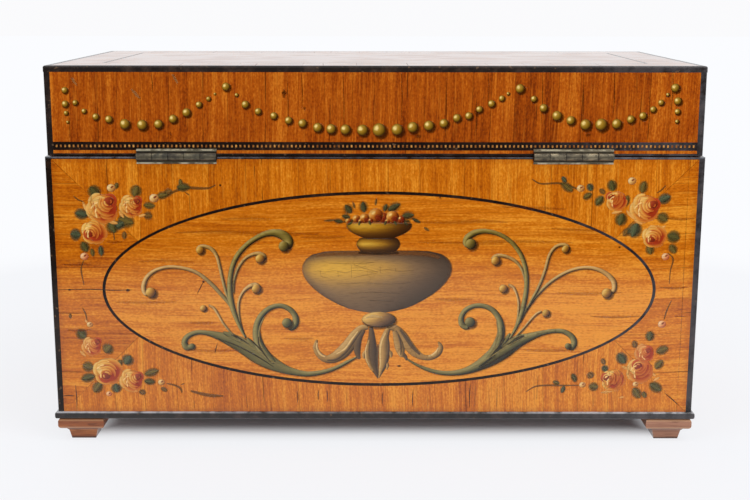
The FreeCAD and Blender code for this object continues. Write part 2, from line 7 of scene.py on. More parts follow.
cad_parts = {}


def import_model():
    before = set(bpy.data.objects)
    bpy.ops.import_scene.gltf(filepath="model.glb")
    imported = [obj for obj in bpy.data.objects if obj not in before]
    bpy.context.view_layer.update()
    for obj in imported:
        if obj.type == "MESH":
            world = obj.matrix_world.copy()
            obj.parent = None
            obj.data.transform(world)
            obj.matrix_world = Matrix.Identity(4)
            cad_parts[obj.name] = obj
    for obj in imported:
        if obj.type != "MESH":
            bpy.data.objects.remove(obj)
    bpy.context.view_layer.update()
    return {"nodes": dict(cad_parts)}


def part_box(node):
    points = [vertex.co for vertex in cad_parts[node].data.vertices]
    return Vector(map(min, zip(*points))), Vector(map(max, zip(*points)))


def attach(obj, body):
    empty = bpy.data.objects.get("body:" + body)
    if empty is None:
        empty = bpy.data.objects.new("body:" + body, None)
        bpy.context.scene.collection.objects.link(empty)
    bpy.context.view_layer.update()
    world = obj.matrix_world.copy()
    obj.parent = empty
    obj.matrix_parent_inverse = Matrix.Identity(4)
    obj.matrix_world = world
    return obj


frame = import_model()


# Studio: a plain pale floor under an even white sky, with soft lamps behind, before and above the box.
# The box is looked at from behind, a little from above, as it was photographed.
class Shade:
    """A socket of a shader tree. Arithmetic on it adds Math nodes."""

    def __init__(self, tree, socket=None):
        self.tree, self.socket = tree, socket

    def node(self, kind, settings=None, inputs=None, out=0):
        """Adds a node, sets it up, feeds its sockets and gives one of its outputs."""
        made = self.tree.nodes.new("ShaderNode" + kind)
        for name, value in (settings or {}).items():
            if name == "stops":
                ramp = made.color_ramp.elements
                ramp.remove(ramp[1])
                ramp[0].position = value[0][0]
                for place, colour in value[1:]:
                    ramp.new(place)
                for stop, (place, colour) in zip(ramp, value):
                    stop.color = (*colour, 1)
            else:
                setattr(made, name, value)
        for key, value in (inputs or {}).items():
            if isinstance(value, Shade):
                self.tree.links.new(value.socket, made.inputs[key])
            else:
                made.inputs[key].default_value = value
        return Shade(self.tree, made.outputs[out] if made.outputs else None)

    def maths(self, operation, *values):
        """Adds a Math node."""
        return self.node("Math", {"operation": operation}, dict(enumerate(values)))

    def __add__(self, other):
        return self.maths("ADD", self, other)

    def __radd__(self, other):
        return self.maths("ADD", other, self)

    def __sub__(self, other):
        return self.maths("SUBTRACT", self, other)

    def __rsub__(self, other):
        return self.maths("SUBTRACT", other, self)

    def __mul__(self, other):
        return self.maths("MULTIPLY", self, other)

    def __truediv__(self, other):
        return self.maths("DIVIDE", self, other)

    def __lt__(self, other):
        return self.maths("LESS_THAN", self, other)

    def __abs__(self):
        return self.maths("ABSOLUTE", self)

    def most(self, other):
        """The greater of two values."""
        return self.maths("MAXIMUM", self, other)

    def rise(self, low, high):
        """0 below low, 1 above high and a smooth step between; falls when low is above high."""
        return self.node("MapRange", {"interpolation_type": "SMOOTHSTEP"},
                         {"Value": self, "From Min": low, "From Max": high})

    def blend(self, first, second):
        """Mixes two colours, with this value as the share of the second."""
        first, second = [value if isinstance(value, Shade) else (*value, 1) for value in (first, second)]
        return self.node("Mix", {"data_type": "RGBA"}, {0: self, 6: first, 7: second}, out=2)

    def spot(self):
        """The place on the object, as a vector in metres."""
        return self.node("TexCoord", out="Object")

    def ray(self, kind):
        """1 for rays of a kind, and 0 for others."""
        return self.node("LightPath", out=f"Is {kind} Ray")

    def axis(self, letter):
        """One axis of this vector."""
        return self.node("SeparateXYZ", {}, {0: self}, out=letter)

    def times(self, *factors):
        """This vector, stretched along each axis."""
        return self.node("VectorMath", {"operation": "MULTIPLY"}, {0: self, 1: factors})

    def noise(self, scale, detail, roughness=0.5, distortion=0.0):
        """Cloudy noise over this vector."""
        return self.node("TexNoise", {}, {"Vector": self, "Scale": scale, "Detail": detail,
                                          "Roughness": roughness, "Distortion": distortion})

    def bump(self, strength, distance=0.0002):
        """A normal that follows this height."""
        return self.node("Bump", {}, {"Strength": strength, "Distance": distance, "Height": self})


def tint(red, green, blue):
    """A colour as seen, 0 to 255, as the linear light that shaders take."""
    return tuple((c / 255 / 12.92) if c <= 10 else ((c / 255 + 0.055) / 1.055) ** 2.4
                 for c in (red, green, blue))


def new_material(name):
    """An empty node material, and a Shade to start its tree from."""
    material = bpy.data.materials.new(name)
    material.use_nodes = True
    material.node_tree.nodes.clear()
    return material, Shade(material.node_tree)


def surface(shade, shader):
    """Ends a material's tree with its shader."""
    shade.node("OutputMaterial", {}, {"Surface": shader})


sky = bpy.data.worlds.new("studio_sky")
bpy.context.scene.world = sky
sky.use_nodes = True
sky.node_tree.nodes.clear()
air = Shade(sky.node_tree)
seen = air.ray("Camera").most(air.ray("Glossy")).most(air.ray("Transmission"))
soft, bright = [air.node("Background", {}, {"Color": (0.985, 0.985, 1.0, 1), "Strength": strength})
                for strength in (0.5, 0.975)]
air.node("OutputWorld", {}, {"Surface": air.node("MixShader", {}, {0: seen, 1: soft, 2: bright})})

reach, footprint = 6.0, (0.1578, 0.0775)
floor_mesh = bpy.data.meshes.new("floor")
floor_mesh.from_pydata([(-reach, -reach, 0), (reach, -reach, 0), (reach, reach, 0), (-reach, reach, 0)], [],
                       [(0, 1, 2, 3)])
floor = bpy.data.objects.new("floor", floor_mesh)
bpy.context.collection.objects.link(floor)
paper, shade = new_material("pale_floor")
spot = shade.spot()
away = shade.node("VectorMath", {"operation": "LENGTH"}, {0: spot}, out="Value")
past_end, past_side = [abs(spot.axis(letter)) - half for letter, half in zip("XY", footprint)]
mirrored = shade.ray("Glossy")
looked_at = shade.ray("Camera").most(mirrored)
pale = shade.node("BsdfDiffuse", {}, {"Color": (0.83, 0.85, 0.90, 1)})
glow = shade.node("Emission", {}, {"Color": (0.965, 0.975, 1.0, 1)})
dark = shade.node("Emission", {}, {"Color": (0.006, 0.006, 0.006, 1)})
lift = (past_end.most(past_side).rise(-0.0255, -0.004) * 0.8).most(away.rise(0.2, 0.5))
lifted = shade.node("MixShader", {}, {0: looked_at * lift, 1: pale, 2: glow})
surface(shade, shade.node("MixShader", {}, {0: mirrored * away.rise(0.38, 0.60), 1: lifted, 2: dark}))
floor_mesh.materials.append(paper)

aim = Vector((0, 0, 0.08))
for name, place, size, power, reflected in (("front_softbox", (-0.95, 1.5, 0.7), (2.4, 1.1), 18.2, False),
                                            ("far_softbox", (0.7, -1.6, 0.45), (2.0, 0.8), 13.0, False),
                                            ("left_softbox", (0.65, 0.55, 1.8), (0.7, 0.7), 4.0, True),
                                            ("right_softbox", (-0.65, 0.55, 1.8), (0.7, 0.7), 7.0, True)):
    lamp_data = bpy.data.lights.new(name, "AREA")
    lamp_data.shape = "RECTANGLE"
    lamp_data.size, lamp_data.size_y = size
    lamp_data.energy = power
    lamp = bpy.data.objects.new(name, lamp_data)
    lamp.location = place
    lamp.visible_glossy = reflected
    lamp.rotation_euler = (aim - lamp.location).to_track_quat("-Z", "Y").to_euler()
    bpy.context.collection.objects.link(lamp)

picture_width, focal_pixels = 750, 1231.1
pitch, roll = 0.2048, 0.0011
eye = Vector((0.0, 0.6616, 0.2193))
ahead = Vector((0, -math.cos(pitch), -math.sin(pitch)))
sideways, upright = Vector((-1, 0, 0)), Vector((0, -math.sin(pitch), math.cos(pitch)))
right = sideways * math.cos(roll) + upright * math.sin(roll)
above = upright * math.cos(roll) - sideways * math.sin(roll)
camera_data = bpy.data.cameras.new("camera")
camera_data.sensor_width = 36
camera_data.lens = focal_pixels * camera_data.sensor_width / picture_width
camera = bpy.data.objects.new("camera", camera_data)
camera.matrix_world = Matrix.Translation(eye) @ Matrix((right, above, -ahead)).transposed().to_4x4()
bpy.context.collection.objects.link(camera)
bpy.context.scene.camera = camera
bpy.context.scene.view_settings.view_transform = "Standard"


# Carcass: boards of plain mahogany, dovetailed and oiled, bare inside the case and the lid.
# The grain runs along each board, so it is drawn out along X on the long boards and along Y on the short.
def dress(nodes, material):
    """Gives a finish to solids of the frame."""
    for node in nodes:
        mesh = frame["nodes"][node].data
        mesh.materials.clear()
        mesh.materials.append(material)


def finish(shade, **look):
    """Ends a material's tree with a Principled shader; the look names its sockets."""
    sockets = {name.replace("_", " ").title().replace("Ior", "IOR"): value for name, value in look.items()}
    surface(shade, shade.node("BsdfPrincipled", {}, sockets))


def mahogany(name, along, dark, mid, light, coat, rough, painted_shade=(), painted_highlight=()):
    """Straight-grained mahogany with short open pores; along is the axis that the grain follows.

    The last two are lists of levels: round each of the first a band of painted shade darkens the wood, and
    round each of the second a band of painted highlight lightens it."""
    material, shade = new_material(name)
    place = shade.spot()
    squeeze = [900.0, 900.0, 900.0]
    squeeze["XYZ".index(along)] = 45.0
    stretched = place.times(*squeeze)
    broad = stretched.times(0.16, 0.16, 0.16).noise(1.0, 4.0, distortion=0.6)
    fine = stretched.noise(1.0, 2.0)
    pores = stretched.times(2.6, 2.6, 2.6).noise(1.0, 0.0).rise(0.62, 0.70)
    colour = shade.node("ValToRGB", {"stops": [(0.3, dark), (0.52, mid), (0.75, light)]},
                        {"Fac": broad * 0.7 + fine * 0.3})
    colour = (pores * 0.6).blend(colour, dark)
    height = place.axis("Z")
    # Bands of painted highlight and of painted shade round the given levels.
    for levels, share, shift in ((painted_highlight, 0.35, tint(220, 170, 124)), (painted_shade, 0.75, tint(46, 24, 16))):
        for at in levels:
            colour = (abs(height - at).rise(0.0008, 0.0002) * share).blend(colour, shift)
    finish(shade, base_color=colour, roughness=rough + pores * 0.2, normal=(fine - pores).bump(0.15),
           coat_weight=coat, coat_roughness=0.12, specular_ior_level=0.3)
    return material


bare = tint(74, 38, 22), tint(112, 62, 36), tint(146, 88, 54)
dress(["case_front_board", "case_back_board", "lid_front_board", "lid_back_board", "lid_top_board",
       "bottom_board"], mahogany("oiled_mahogany_long", "X", *bare, coat=0.0, rough=0.55))
dress(["case_left_board", "case_right_board", "lid_left_board", "lid_right_board"],
      mahogany("oiled_mahogany_short", "Y", *bare, coat=0.0, rough=0.55))


# Satinwood veneers: sheets and crossbanding laid over the carcass and varnished. Each face is pieced from
# narrow leaves, whose seams and shrinkage cracks show as thin dark lines along the grain.
def satinwood(name, plane, grain, leaf, tones, seed, frame_size=None, cracks=1.0, glow=(), patchy=0.0):
    """Varnished satinwood. The plane names the face's two axes and grain the one that it follows.

    With a frame size (half width, half height, middle height) the grain turns across a mitred frame. Glow
    lists bands of lighter or darker tone, each with its axis and the places between which it comes in; most
    of them are painted light and painted shade. Patchy is how uneven the varnish is."""
    material, shade = new_material(name)
    place = shade.spot().times(1000.0, 1000.0, 1000.0)
    axes = {letter: place.axis(letter) for letter in "XYZ"}
    u, v = axes[plane[0]], axes[plane[1]]
    if frame_size:
        half_u, half_v, middle = frame_size
        to_end = half_u - abs(u)
        to_side = half_v - abs(v - middle)
        ends = to_end < to_side
        along = v + (u - v) * ends
        end_shift = 531.0
        across = u + (v - u) * ends + ends * end_shift
        edge = to_end.maths("MINIMUM", to_end, to_side)
        mitre = abs(to_end - to_side).rise(0.35, 0.1)
    else:
        along, across = (u, v) if grain == plane[0] else (v, u)
    lean = shade.node("TexNoise", {"noise_dimensions": "1D"},
                      {"W": along * 0.012 + seed, "Scale": 1.0, "Detail": 1.0})
    across = across + lean * 5.0 + seed * 37.0

    def streaks(fine, long, detail, twist=0.0, start=0.0, layer=None):
        """Noise drawn out along the grain, in a layer of its own unless one is given."""
        depth = seed + fine if layer is None else layer
        vector = shade.node("CombineXYZ", {}, {0: across * fine + start, 1: along * long, 2: depth})
        return vector.noise(1.0, detail, distortion=twist)

    def leaves(width, start, spread, feature, out):
        """Leaves of veneer of uneven width, side by side across the grain."""
        return shade.node("TexVoronoi", {"voronoi_dimensions": "1D", "feature": feature},
                          {"W": across / width + start, "Scale": 1.0, "Randomness": spread}, out=out)

    wide_leaf = leaf * 2.7
    leaf_tone = shade.node("SeparateColor", {}, {0: leaves(leaf, 0.0, 0.9, "F1", "Color")})
    to_seam = leaves(leaf, 0.0, 0.9, "DISTANCE_TO_EDGE", "Distance") * leaf
    to_crack = leaves(wide_leaf, 3.1, 1.0, "DISTANCE_TO_EDGE", "Distance") * wide_leaf
    shift = leaf_tone * 60.0
    ribbon = streaks(0.30, 0.010, 2.0, start=shift, layer=shift)
    mottle = streaks(0.09, 0.10, 2.0, 0.8)
    figure = streaks(1.1, 0.035, 3.0)
    ripple = streaks(2.4, 0.26, 2.0)
    fleck = streaks(1.3, 0.75, 2.0)
    pores = streaks(5.0, 0.45, 1.0).rise(0.58, 0.70)
    threads = streaks(2.6, 0.03, 2.0).rise(0.55, 0.68)
    gleams = streaks(0.9, 0.045, 2.0).rise(0.54, 0.70)
    tone = (ribbon * 0.28 + figure * 0.20 + ripple * 0.18 + fleck * 0.26 + mottle * 0.08
            + (leaf_tone - 0.5) * 0.08)
    # Bands of lighter or darker tone; most are painted light and painted shade.
    for axis, amount, low, high in glow:
        tone = tone + axes[axis].rise(low, high) * amount
    colour = shade.node("ValToRGB", {"stops": list(zip((0.36, 0.45, 0.53, 0.63), tones))}, {"Fac": tone})
    colour = (gleams * 0.45).blend(colour, tones[3])
    colour = (threads * 0.4).most(pores * 0.35).blend(colour, tones[0])
    broken = streaks(0.02, 0.035, 1.0, layer=seed + 9.0)
    seam = to_seam.rise(0.20, 0.05) * broken.rise(0.38, 0.56)
    crack = to_crack.rise(0.30, 0.08) * broken.rise(0.52, 0.40) * cracks
    lines = (seam * 0.55).most(crack * 0.8)
    if frame_size:
        lines = lines.most(mitre * broken.rise(0.42, 0.6) * 0.6)
        colour = (edge.rise(3.2, 0.2) * 0.35).blend(colour, tones[0])
    colour = lines.blend(colour, tint(58, 26, 8))
    worn = place.noise(0.05, 3.0).rise(0.4, 0.65) * patchy
    finish(shade, base_color=colour, roughness=0.42 + pores * 0.1,
           normal=(lines * -1.0 + figure * 0.12).bump(0.12), coat_weight=1.0 - lines * 0.6 - worn,
           coat_roughness=0.05, coat_ior=1.5, specular_ior_level=0.0)
    return material


gold_tones = tint(142, 64, 8), tint(180, 92, 10), tint(201, 111, 16), tint(226, 145, 40)
oval_tones = tint(146, 66, 8), tint(184, 96, 12), tint(200, 111, 17), tint(226, 144, 40)
red_tones = tint(112, 44, 8), tint(150, 66, 11), tint(174, 84, 15), tint(204, 116, 30)
top_tones = tint(120, 58, 11), tint(154, 82, 16), tint(176, 101, 22), tint(202, 130, 42)
long_frame = (154.75, 63.2, 79.0)
short_frame = (74.5, 63.2, 79.0)
top_frame = (153.65, 73.4, 0.0)
# Painted light on the ovals, lighter towards the bottom. Painted shade on the lids, darker towards their
# lower edge, above a strip of lighter tone. Painted light on the back, lighter towards the left end (−X)
# and towards the bottom.
oval_painted_light = [("Z", 0.07, 104.0, 62.0)]
lid_shade_and_strip_tone = [("Z", -0.025, 170.0, 152.0), ("Z", 0.06, 148.5, 147.5)]
back_painted_light = {"back": [("X", 0.045, 30.0, -130.0), ("Z", 0.02, 70.0, 20.0)]}
for n, (side, plane, frame_size) in enumerate((("back", "XZ", long_frame), ("front", "XZ", long_frame),
                                               ("left", "YZ", short_frame), ("right", "YZ", short_frame))):
    painted_light = back_painted_light.get(side, [])
    dress([f"{side}_crossbanding"],
          satinwood(f"crossbanding_{side}", plane, "Z", 15.0, gold_tones, 3.0 + n, frame_size, glow=painted_light))
    dress([f"{side}_oval_panel"],
          satinwood(f"oval_{side}", plane, plane[0], 90.0, oval_tones, 11.0 + n, cracks=0.5,
                    glow=oval_painted_light + painted_light[:1]))
    dress([f"lid_{side}_veneer"],
          satinwood(f"lid_sheet_{side}", plane, "Z", 11.0, red_tones, 21.0 + n, glow=lid_shade_and_strip_tone))
dress(["lid_top_crossbanding"],
      satinwood("top_crossbanding", "XY", "Y", 15.0, top_tones, 31.0, top_frame, patchy=0.12))
dress(["lid_top_panel"], satinwood("top_panel", "XY", "X", 60.0, top_tones, 33.0, cracks=0.5, patchy=0.12))


# Stringing and plinth: ebony lines let into every edge, and a nosing of pear wood stained black below.
# The polish has worn brown along the arrises, the lines turn greyer in patches towards the left end (−X),
# and a pale painted highlight runs along the case's rim and the plinth's top edge, strongest towards the
# ends.
def ebony(name, dark, worn, coat, painted_highlight=1.0, shine=tint(118, 122, 130)):
    """Black wood, with a band of painted highlight in the colour of shine along an upper edge at the level
    given after the coat.
    """
    material, shade = new_material(name)
    place = shade.spot()
    wear = place.noise(140.0, 5.0, roughness=0.65)
    chips = place.noise(520.0, 2.0).rise(0.66, 0.74)
    colour = wear.rise(0.45, 0.75).blend(dark, worn)
    colour = (chips * 0.5).blend(colour, tint(120, 92, 66))
    to_right = place.axis("X")
    greyed = to_right.rise(-0.05, -0.16) * wear.rise(0.25, 0.6)
    colour = (greyed * 0.45).blend(colour, tint(92, 90, 94))
    # Painted highlight along the upper edge, stronger towards both ends.
    edge = place.axis("Z").rise(painted_highlight - 0.0009, painted_highlight - 0.0003)
    share = edge * wear.rise(0.3, 0.58) * (0.25 + abs(to_right).rise(0.03, 0.11) * 0.4)
    colour = share.blend(colour, shine)
    finish(shade, base_color=colour, roughness=0.3 + wear * 0.25, normal=(wear - chips * 0.5).bump(0.25),
           coat_weight=coat, coat_roughness=0.08, specular_ior_level=0.06)
    return material


sides = "back", "front", "left", "right"
# The case's rim and the plinth's top edge carry a band of painted highlight.
case_rim, plinth_top = 0.1432, 0.0158
black = tint(24, 15, 10), tint(52, 34, 22)
dress(["case_edge_stringing"], ebony("ebony_painted_rim_highlight", *black, 0.45, case_rim))
dress(["lid_edge_stringing"], ebony("lid_ebony", tint(32, 25, 22), tint(64, 50, 42), 0.45))
dress(["lid_chequer_banding", "lid_top_stringing", *[f"{side}_oval_stringing" for side in sides]],
      ebony("ebony_lines", *black, 0.45))
dress([f"plinth_{side}" for side in sides],
      ebony("ebonised_plinth", tint(36, 32, 31), tint(68, 56, 52), 0.7, plinth_top, tint(196, 196, 200)))


# Feet: stepped blocks of red mahogany, glued up under the corners of the plinth and polished.
# Painted shade darkens their base, their step and their top under the plinth, painted highlights lighten
# the pad's two edges, and the two at the left end are a lighter copy of the wood, a painted sheen.
polished = tint(92, 42, 16), tint(146, 78, 34), tint(192, 120, 58)
# The feet at the left end take a lighter copy of the wood: a painted sheen.
painted_sheen_tones = tint(112, 68, 48), tint(160, 110, 84), tint(194, 148, 120)
# Levels of painted shade (base, step, top under the plinth) and of painted highlight (the pad's two edges).
foot_shade_levels, foot_highlight_levels = (0.0004, 0.0060, 0.0121), (0.0073, 0.0112)
for side, wood in (("left", painted_sheen_tones), ("right", polished)):
    dress([f"foot_front_{side}", f"foot_back_{side}"],
          mahogany(f"polished_mahogany_{side}", "X", *wood, 0.6, 0.4, foot_shade_levels, foot_highlight_levels))


# Hinges, screws and lock: cast and drawn brass that has gone dull and brown in patches. On each hinge,
# painted shade darkens the seams by the barrel and between the knuckles, and a painted highlight lightens
# the leaves' outer edges.
# The hinge pins are drawn iron wire.
hinge_middle, hinge_axis, knuckle_pitch = 94.7, 143.5, 7.65


def aged_metal(name, dull, bright, rough, patina, middle=None):
    """Tarnished metal. With a hinge's middle, painted shade darkens the seams beside its barrel and between
    the knuckles, and a painted highlight lightens the leaves' edges away from the barrel.
    """
    material, shade = new_material(name)
    place = shade.spot()
    stain = place.noise(260.0, 6.0, roughness=0.6)
    scratch = place.times(160.0, 3200.0, 3200.0).noise(1.0, 2.0)
    tarnish = (stain * 0.8 + scratch * 0.2).rise(0.38, 0.62)
    colour = tarnish.blend(bright, dull)
    if middle is not None:
        along, up = [place.axis(letter) * 1000.0 for letter in "XZ"]
        from_axis = abs(up - hinge_axis)
        knuckle = (along - middle) / knuckle_pitch
        to_gap = abs(knuckle.maths("FRACT", knuckle) - 0.5)
        gap = to_gap.rise(0.032, 0.012) * from_axis.rise(2.0, 1.9)
        # Painted shade in the seams beside the barrel and between the knuckles.
        painted_shade = gap.most(from_axis.rise(1.7, 1.95) * from_axis.rise(2.5, 2.2))
        colour = (painted_shade * 0.75).blend(colour, tint(26, 20, 14))
        # Painted highlight on the leaves' edges, away from the barrel.
        painted_highlight = from_axis.rise(2.6, 2.9)
        colour = (painted_highlight * stain.rise(0.35, 0.6) * 0.8).blend(colour, tint(206, 196, 166))
    finish(shade, base_color=colour, metallic=1.0 - tarnish * patina, roughness=rough + tarnish * 0.2,
           normal=(scratch + stain).bump(0.2, 0.0001))
    return material


# One copy of the brass per leaf, in painted light: the left hinge and the lid's leaves are lighter, as if
# lit more.
for end, board, dark, bright in (("left", "lid", tint(70, 64, 52), tint(148, 137, 113)),
                                 ("left", "case", tint(60, 54, 44), tint(124, 114, 94)),
                                 ("right", "lid", tint(60, 57, 47), tint(116, 109, 90)),
                                 ("right", "case", tint(56, 51, 42), tint(110, 102, 84))):
    dress([f"hinge_{end}_{board}_leaf"],
          aged_metal(f"{end}_{board}_leaf_brass", dark, bright, 0.34, 0.55,
                     -hinge_middle if end == "left" else hinge_middle))
dress(["hinge_left_pin", "hinge_right_pin"],
      aged_metal("pin_wire", tint(80, 76, 72), tint(150, 146, 140), 0.3, 0.2))
dress(["lock_case", "lock_cap", "lock_bolt", "strike_plate", "keyhole_escutcheon"],
      aged_metal("lock_brass", tint(140, 112, 62), tint(208, 174, 104), 0.28, 0.2))


# Painted scrolls: leafy stems that spring from the foot of the urn and curl into round knobs.
# They are oil paint under the varnish, laid on in strokes that are light on the left and dark on the right.
class Brush:
    """Strokes of paint on one face, gathered as thin closed skins with a colour at every corner.

    Places are in millimetres: u to the right and v up, as seen from outside. Each stroke lies over the last
    by the thickness of a film."""

    ground, film, under = 0.012, 0.0008, -0.004

    def __init__(self, spot):
        self.spot = spot
        self.corners, self.faces, self.colours = [], [], []
        self.top = self.ground

    def skin(self, points, colours, faces, border):
        """Adds a patch of (u, v, cover), closed underneath along its border, where it covers nothing."""
        self.top += self.film
        first = len(self.corners)
        self.corners += [self.spot(u, v, self.top if cover else self.under) for u, v, cover in points]
        self.colours += [(*tint(*colour), cover) for (u, v, cover), colour in zip(points, colours)]
        self.faces += [[first + corner for corner in face] for face in [*faces, border]]

    def sheet(self, rows, colours):
        """A patch of equal rows of (u, v, cover)."""
        tall, wide = len(rows), len(rows[0])
        faces = [(i * wide + j, i * wide + j + 1, (i + 1) * wide + j + 1, (i + 1) * wide + j)
                 for i in range(tall - 1) for j in range(wide - 1)]
        border = ([j for j in range(wide)] + [i * wide + wide - 1 for i in range(1, tall)]
                  + [(tall - 1) * wide + j for j in reversed(range(wide - 1))]
                  + [i * wide for i in reversed(range(1, tall - 1))])
        self.skin(sum(rows, []), sum(colours, []), faces, border[::-1])

    def stroke(self, path, colour, pitch=0.9, cover=1.0, edge=0.9):
        """A stroke along (u, v, half width); colour takes the way across, along and the side's direction.

        Edge is how much of the paint reaches the sides: the lower, the softer."""
        points = [Vector(point) for point in path]
        points = [points[0] * 2 - points[1], *points, points[-1] * 2 - points[-2]]
        line = []
        for a, b, c, d in zip(points, points[1:], points[2:], points[3:]):
            count = max(2, round((c - b).length / pitch))
            for t in (k / count for k in range(count)):
                line.append(0.5 * (2 * b + (c - a) * t + (2 * a - 5 * b + 4 * c - d) * t * t
                                   + (3 * b - a - 3 * c + d) * t ** 3))
        line.append(points[-2])
        soft = (1 + edge) / 2
        section = ((-1, 0), (-0.8, edge), (-0.45, soft), (-0.1, 1),
                   (0.2, 1), (0.5, soft), (0.8, edge), (1, 0))
        rows, colours = [], []
        for i, point in enumerate(line):
            way = line[min(i + 1, len(line) - 1)] - line[max(i - 1, 0)]
            side = Vector((way.y, -way.x)).normalized()
            half = max(point.z, 0.05)
            body = 0 if i in (0, len(line) - 1) else cover
            rows.append([(point.x + side.x * across * half, point.y + side.y * across * half, thick * body)
                         for across, thick in section])
            colours.append([colour(across, i / (len(line) - 1), side) for across, thick in section])
        self.sheet(rows, colours)

    def knob(self, u, v, wide, high, colours, turn=0.0, around=18, covers=(1, 1, 0.9, 0)):
        """A round or oval dab, shaded like a ball; the covers are from the middle out."""
        rings = 0.4, 0.68, 0.88, 1.0
        points, shades = [(u, v, covers[0])], [mixed(colours, lit((0, 0)))]
        for ring, cover in zip(rings, covers):
            for k in range(around):
                angle = 2 * math.pi * k / around
                x, y = ring * math.cos(angle), ring * math.sin(angle)
                du, dv = x * wide, y * high
                points.append((u + du * math.cos(turn) - dv * math.sin(turn),
                               v + du * math.sin(turn) + dv * math.cos(turn), cover))
                shades.append(mixed(colours, lit((x * math.cos(turn) - y * math.sin(turn),
                                                  x * math.sin(turn) + y * math.cos(turn)))))
        faces = [(0, 1 + k, 1 + (k + 1) % around) for k in range(around)]
        for r in range(len(rings) - 1):
            low, up = 1 + r * around, 1 + (r + 1) * around
            faces += [(low + k, up + k, up + (k + 1) % around, low + (k + 1) % around)
                      for k in range(around)]
        self.skin(points, shades, faces, [up + k for k in reversed(range(around))])

    def piece(self, name, body):
        """Turns the strokes into a piece that moves with a body."""
        mesh = bpy.data.meshes.new(name)
        mesh.from_pydata(self.corners, [], self.faces)
        layer = mesh.color_attributes.new("paint", "FLOAT_COLOR", "POINT")
        for dot, colour in zip(layer.data, self.colours):
            dot.color = colour
        form = bmesh.new()
        form.from_mesh(mesh)
        bmesh.ops.recalc_face_normals(form, faces=form.faces)
        form.to_mesh(mesh)
        form.free()
        mesh.materials.append(oil_paint)
        made = bpy.data.objects.new(name, mesh)
        bpy.context.collection.objects.link(made)
        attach(made, body)


def lit(lean, light=(-0.75, 0.5, 0.35)):
    """How bright a rounded surface is where it leans over by (right, up)."""
    flat = max(0.0, 1 - lean[0] ** 2 - lean[1] ** 2) ** 0.5
    return min(1, max(0, (lean[0] * light[0] + lean[1] * light[1] + flat * light[2] + 0.6) / 1.45))


def mixed(colours, share):
    """The colour at a share of the way along a row of them."""
    place = share * (len(colours) - 1)
    low = min(int(place), len(colours) - 2)
    return tuple(a + (b - a) * (place - low) for a, b in zip(colours[low], colours[low + 1]))


def tube(colours):
    """Colours a stroke as if it were a round stem."""
    return lambda across, along, side: mixed(colours, lit((side.x * across, side.y * across)))


def vine(colours):
    """Colours a stem that is grey green where it springs and takes its own colour towards the tip."""
    def paint(across, along, side):
        bright = min(1, max(0, (lit((side.x * across, side.y * across)) - 0.5) * 1.7 + 0.5))
        return mixed((mixed(green, bright), mixed(colours, bright)), min(1, along * 1.7))
    return paint


oil_paint, shade = new_material("oil_paint")
spot = shade.spot()
pigment, cover = [shade.node("Attribute", {"attribute_name": "paint"}, out=part)
                  for part in ("Color", "Alpha")]
strokes = spot.times(260.0, 260.0, 2600.0).noise(1.0, 3.0)
net = shade.node("TexVoronoi", {"feature": "DISTANCE_TO_EDGE"}, {"Vector": spot, "Scale": 230.0},
                 out="Distance")
dry = spot.noise(45.0, 1.0).rise(0.5, 0.62)
craze = net.rise(0.035, 0.012) * dry * 0.4
pigment = (strokes.rise(0.45, 0.72) * 0.28).blend(pigment, tint(58, 36, 18))
pigment = craze.blend(pigment, tint(52, 34, 20))
finish(shade, base_color=pigment, roughness=0.5 + strokes * 0.1, coat_weight=1.0 - craze,
       coat_roughness=0.06, specular_ior_level=0.0, alpha=cover)

green = (28, 27, 18), (48, 48, 30), (76, 73, 41), (108, 98, 54), (150, 136, 82)
olive = (34, 24, 8), (60, 47, 17), (90, 76, 30), (124, 104, 44), (166, 146, 78)
gilt = (70, 44, 20), (104, 74, 38), (140, 104, 54), (182, 138, 76), (218, 176, 108)
dull = (62, 42, 20), (94, 68, 34), (128, 96, 48), (170, 130, 66), (206, 164, 96)
knob_gold = (58, 28, 6), (96, 54, 12), (140, 90, 24), (180, 128, 42), (228, 182, 92)
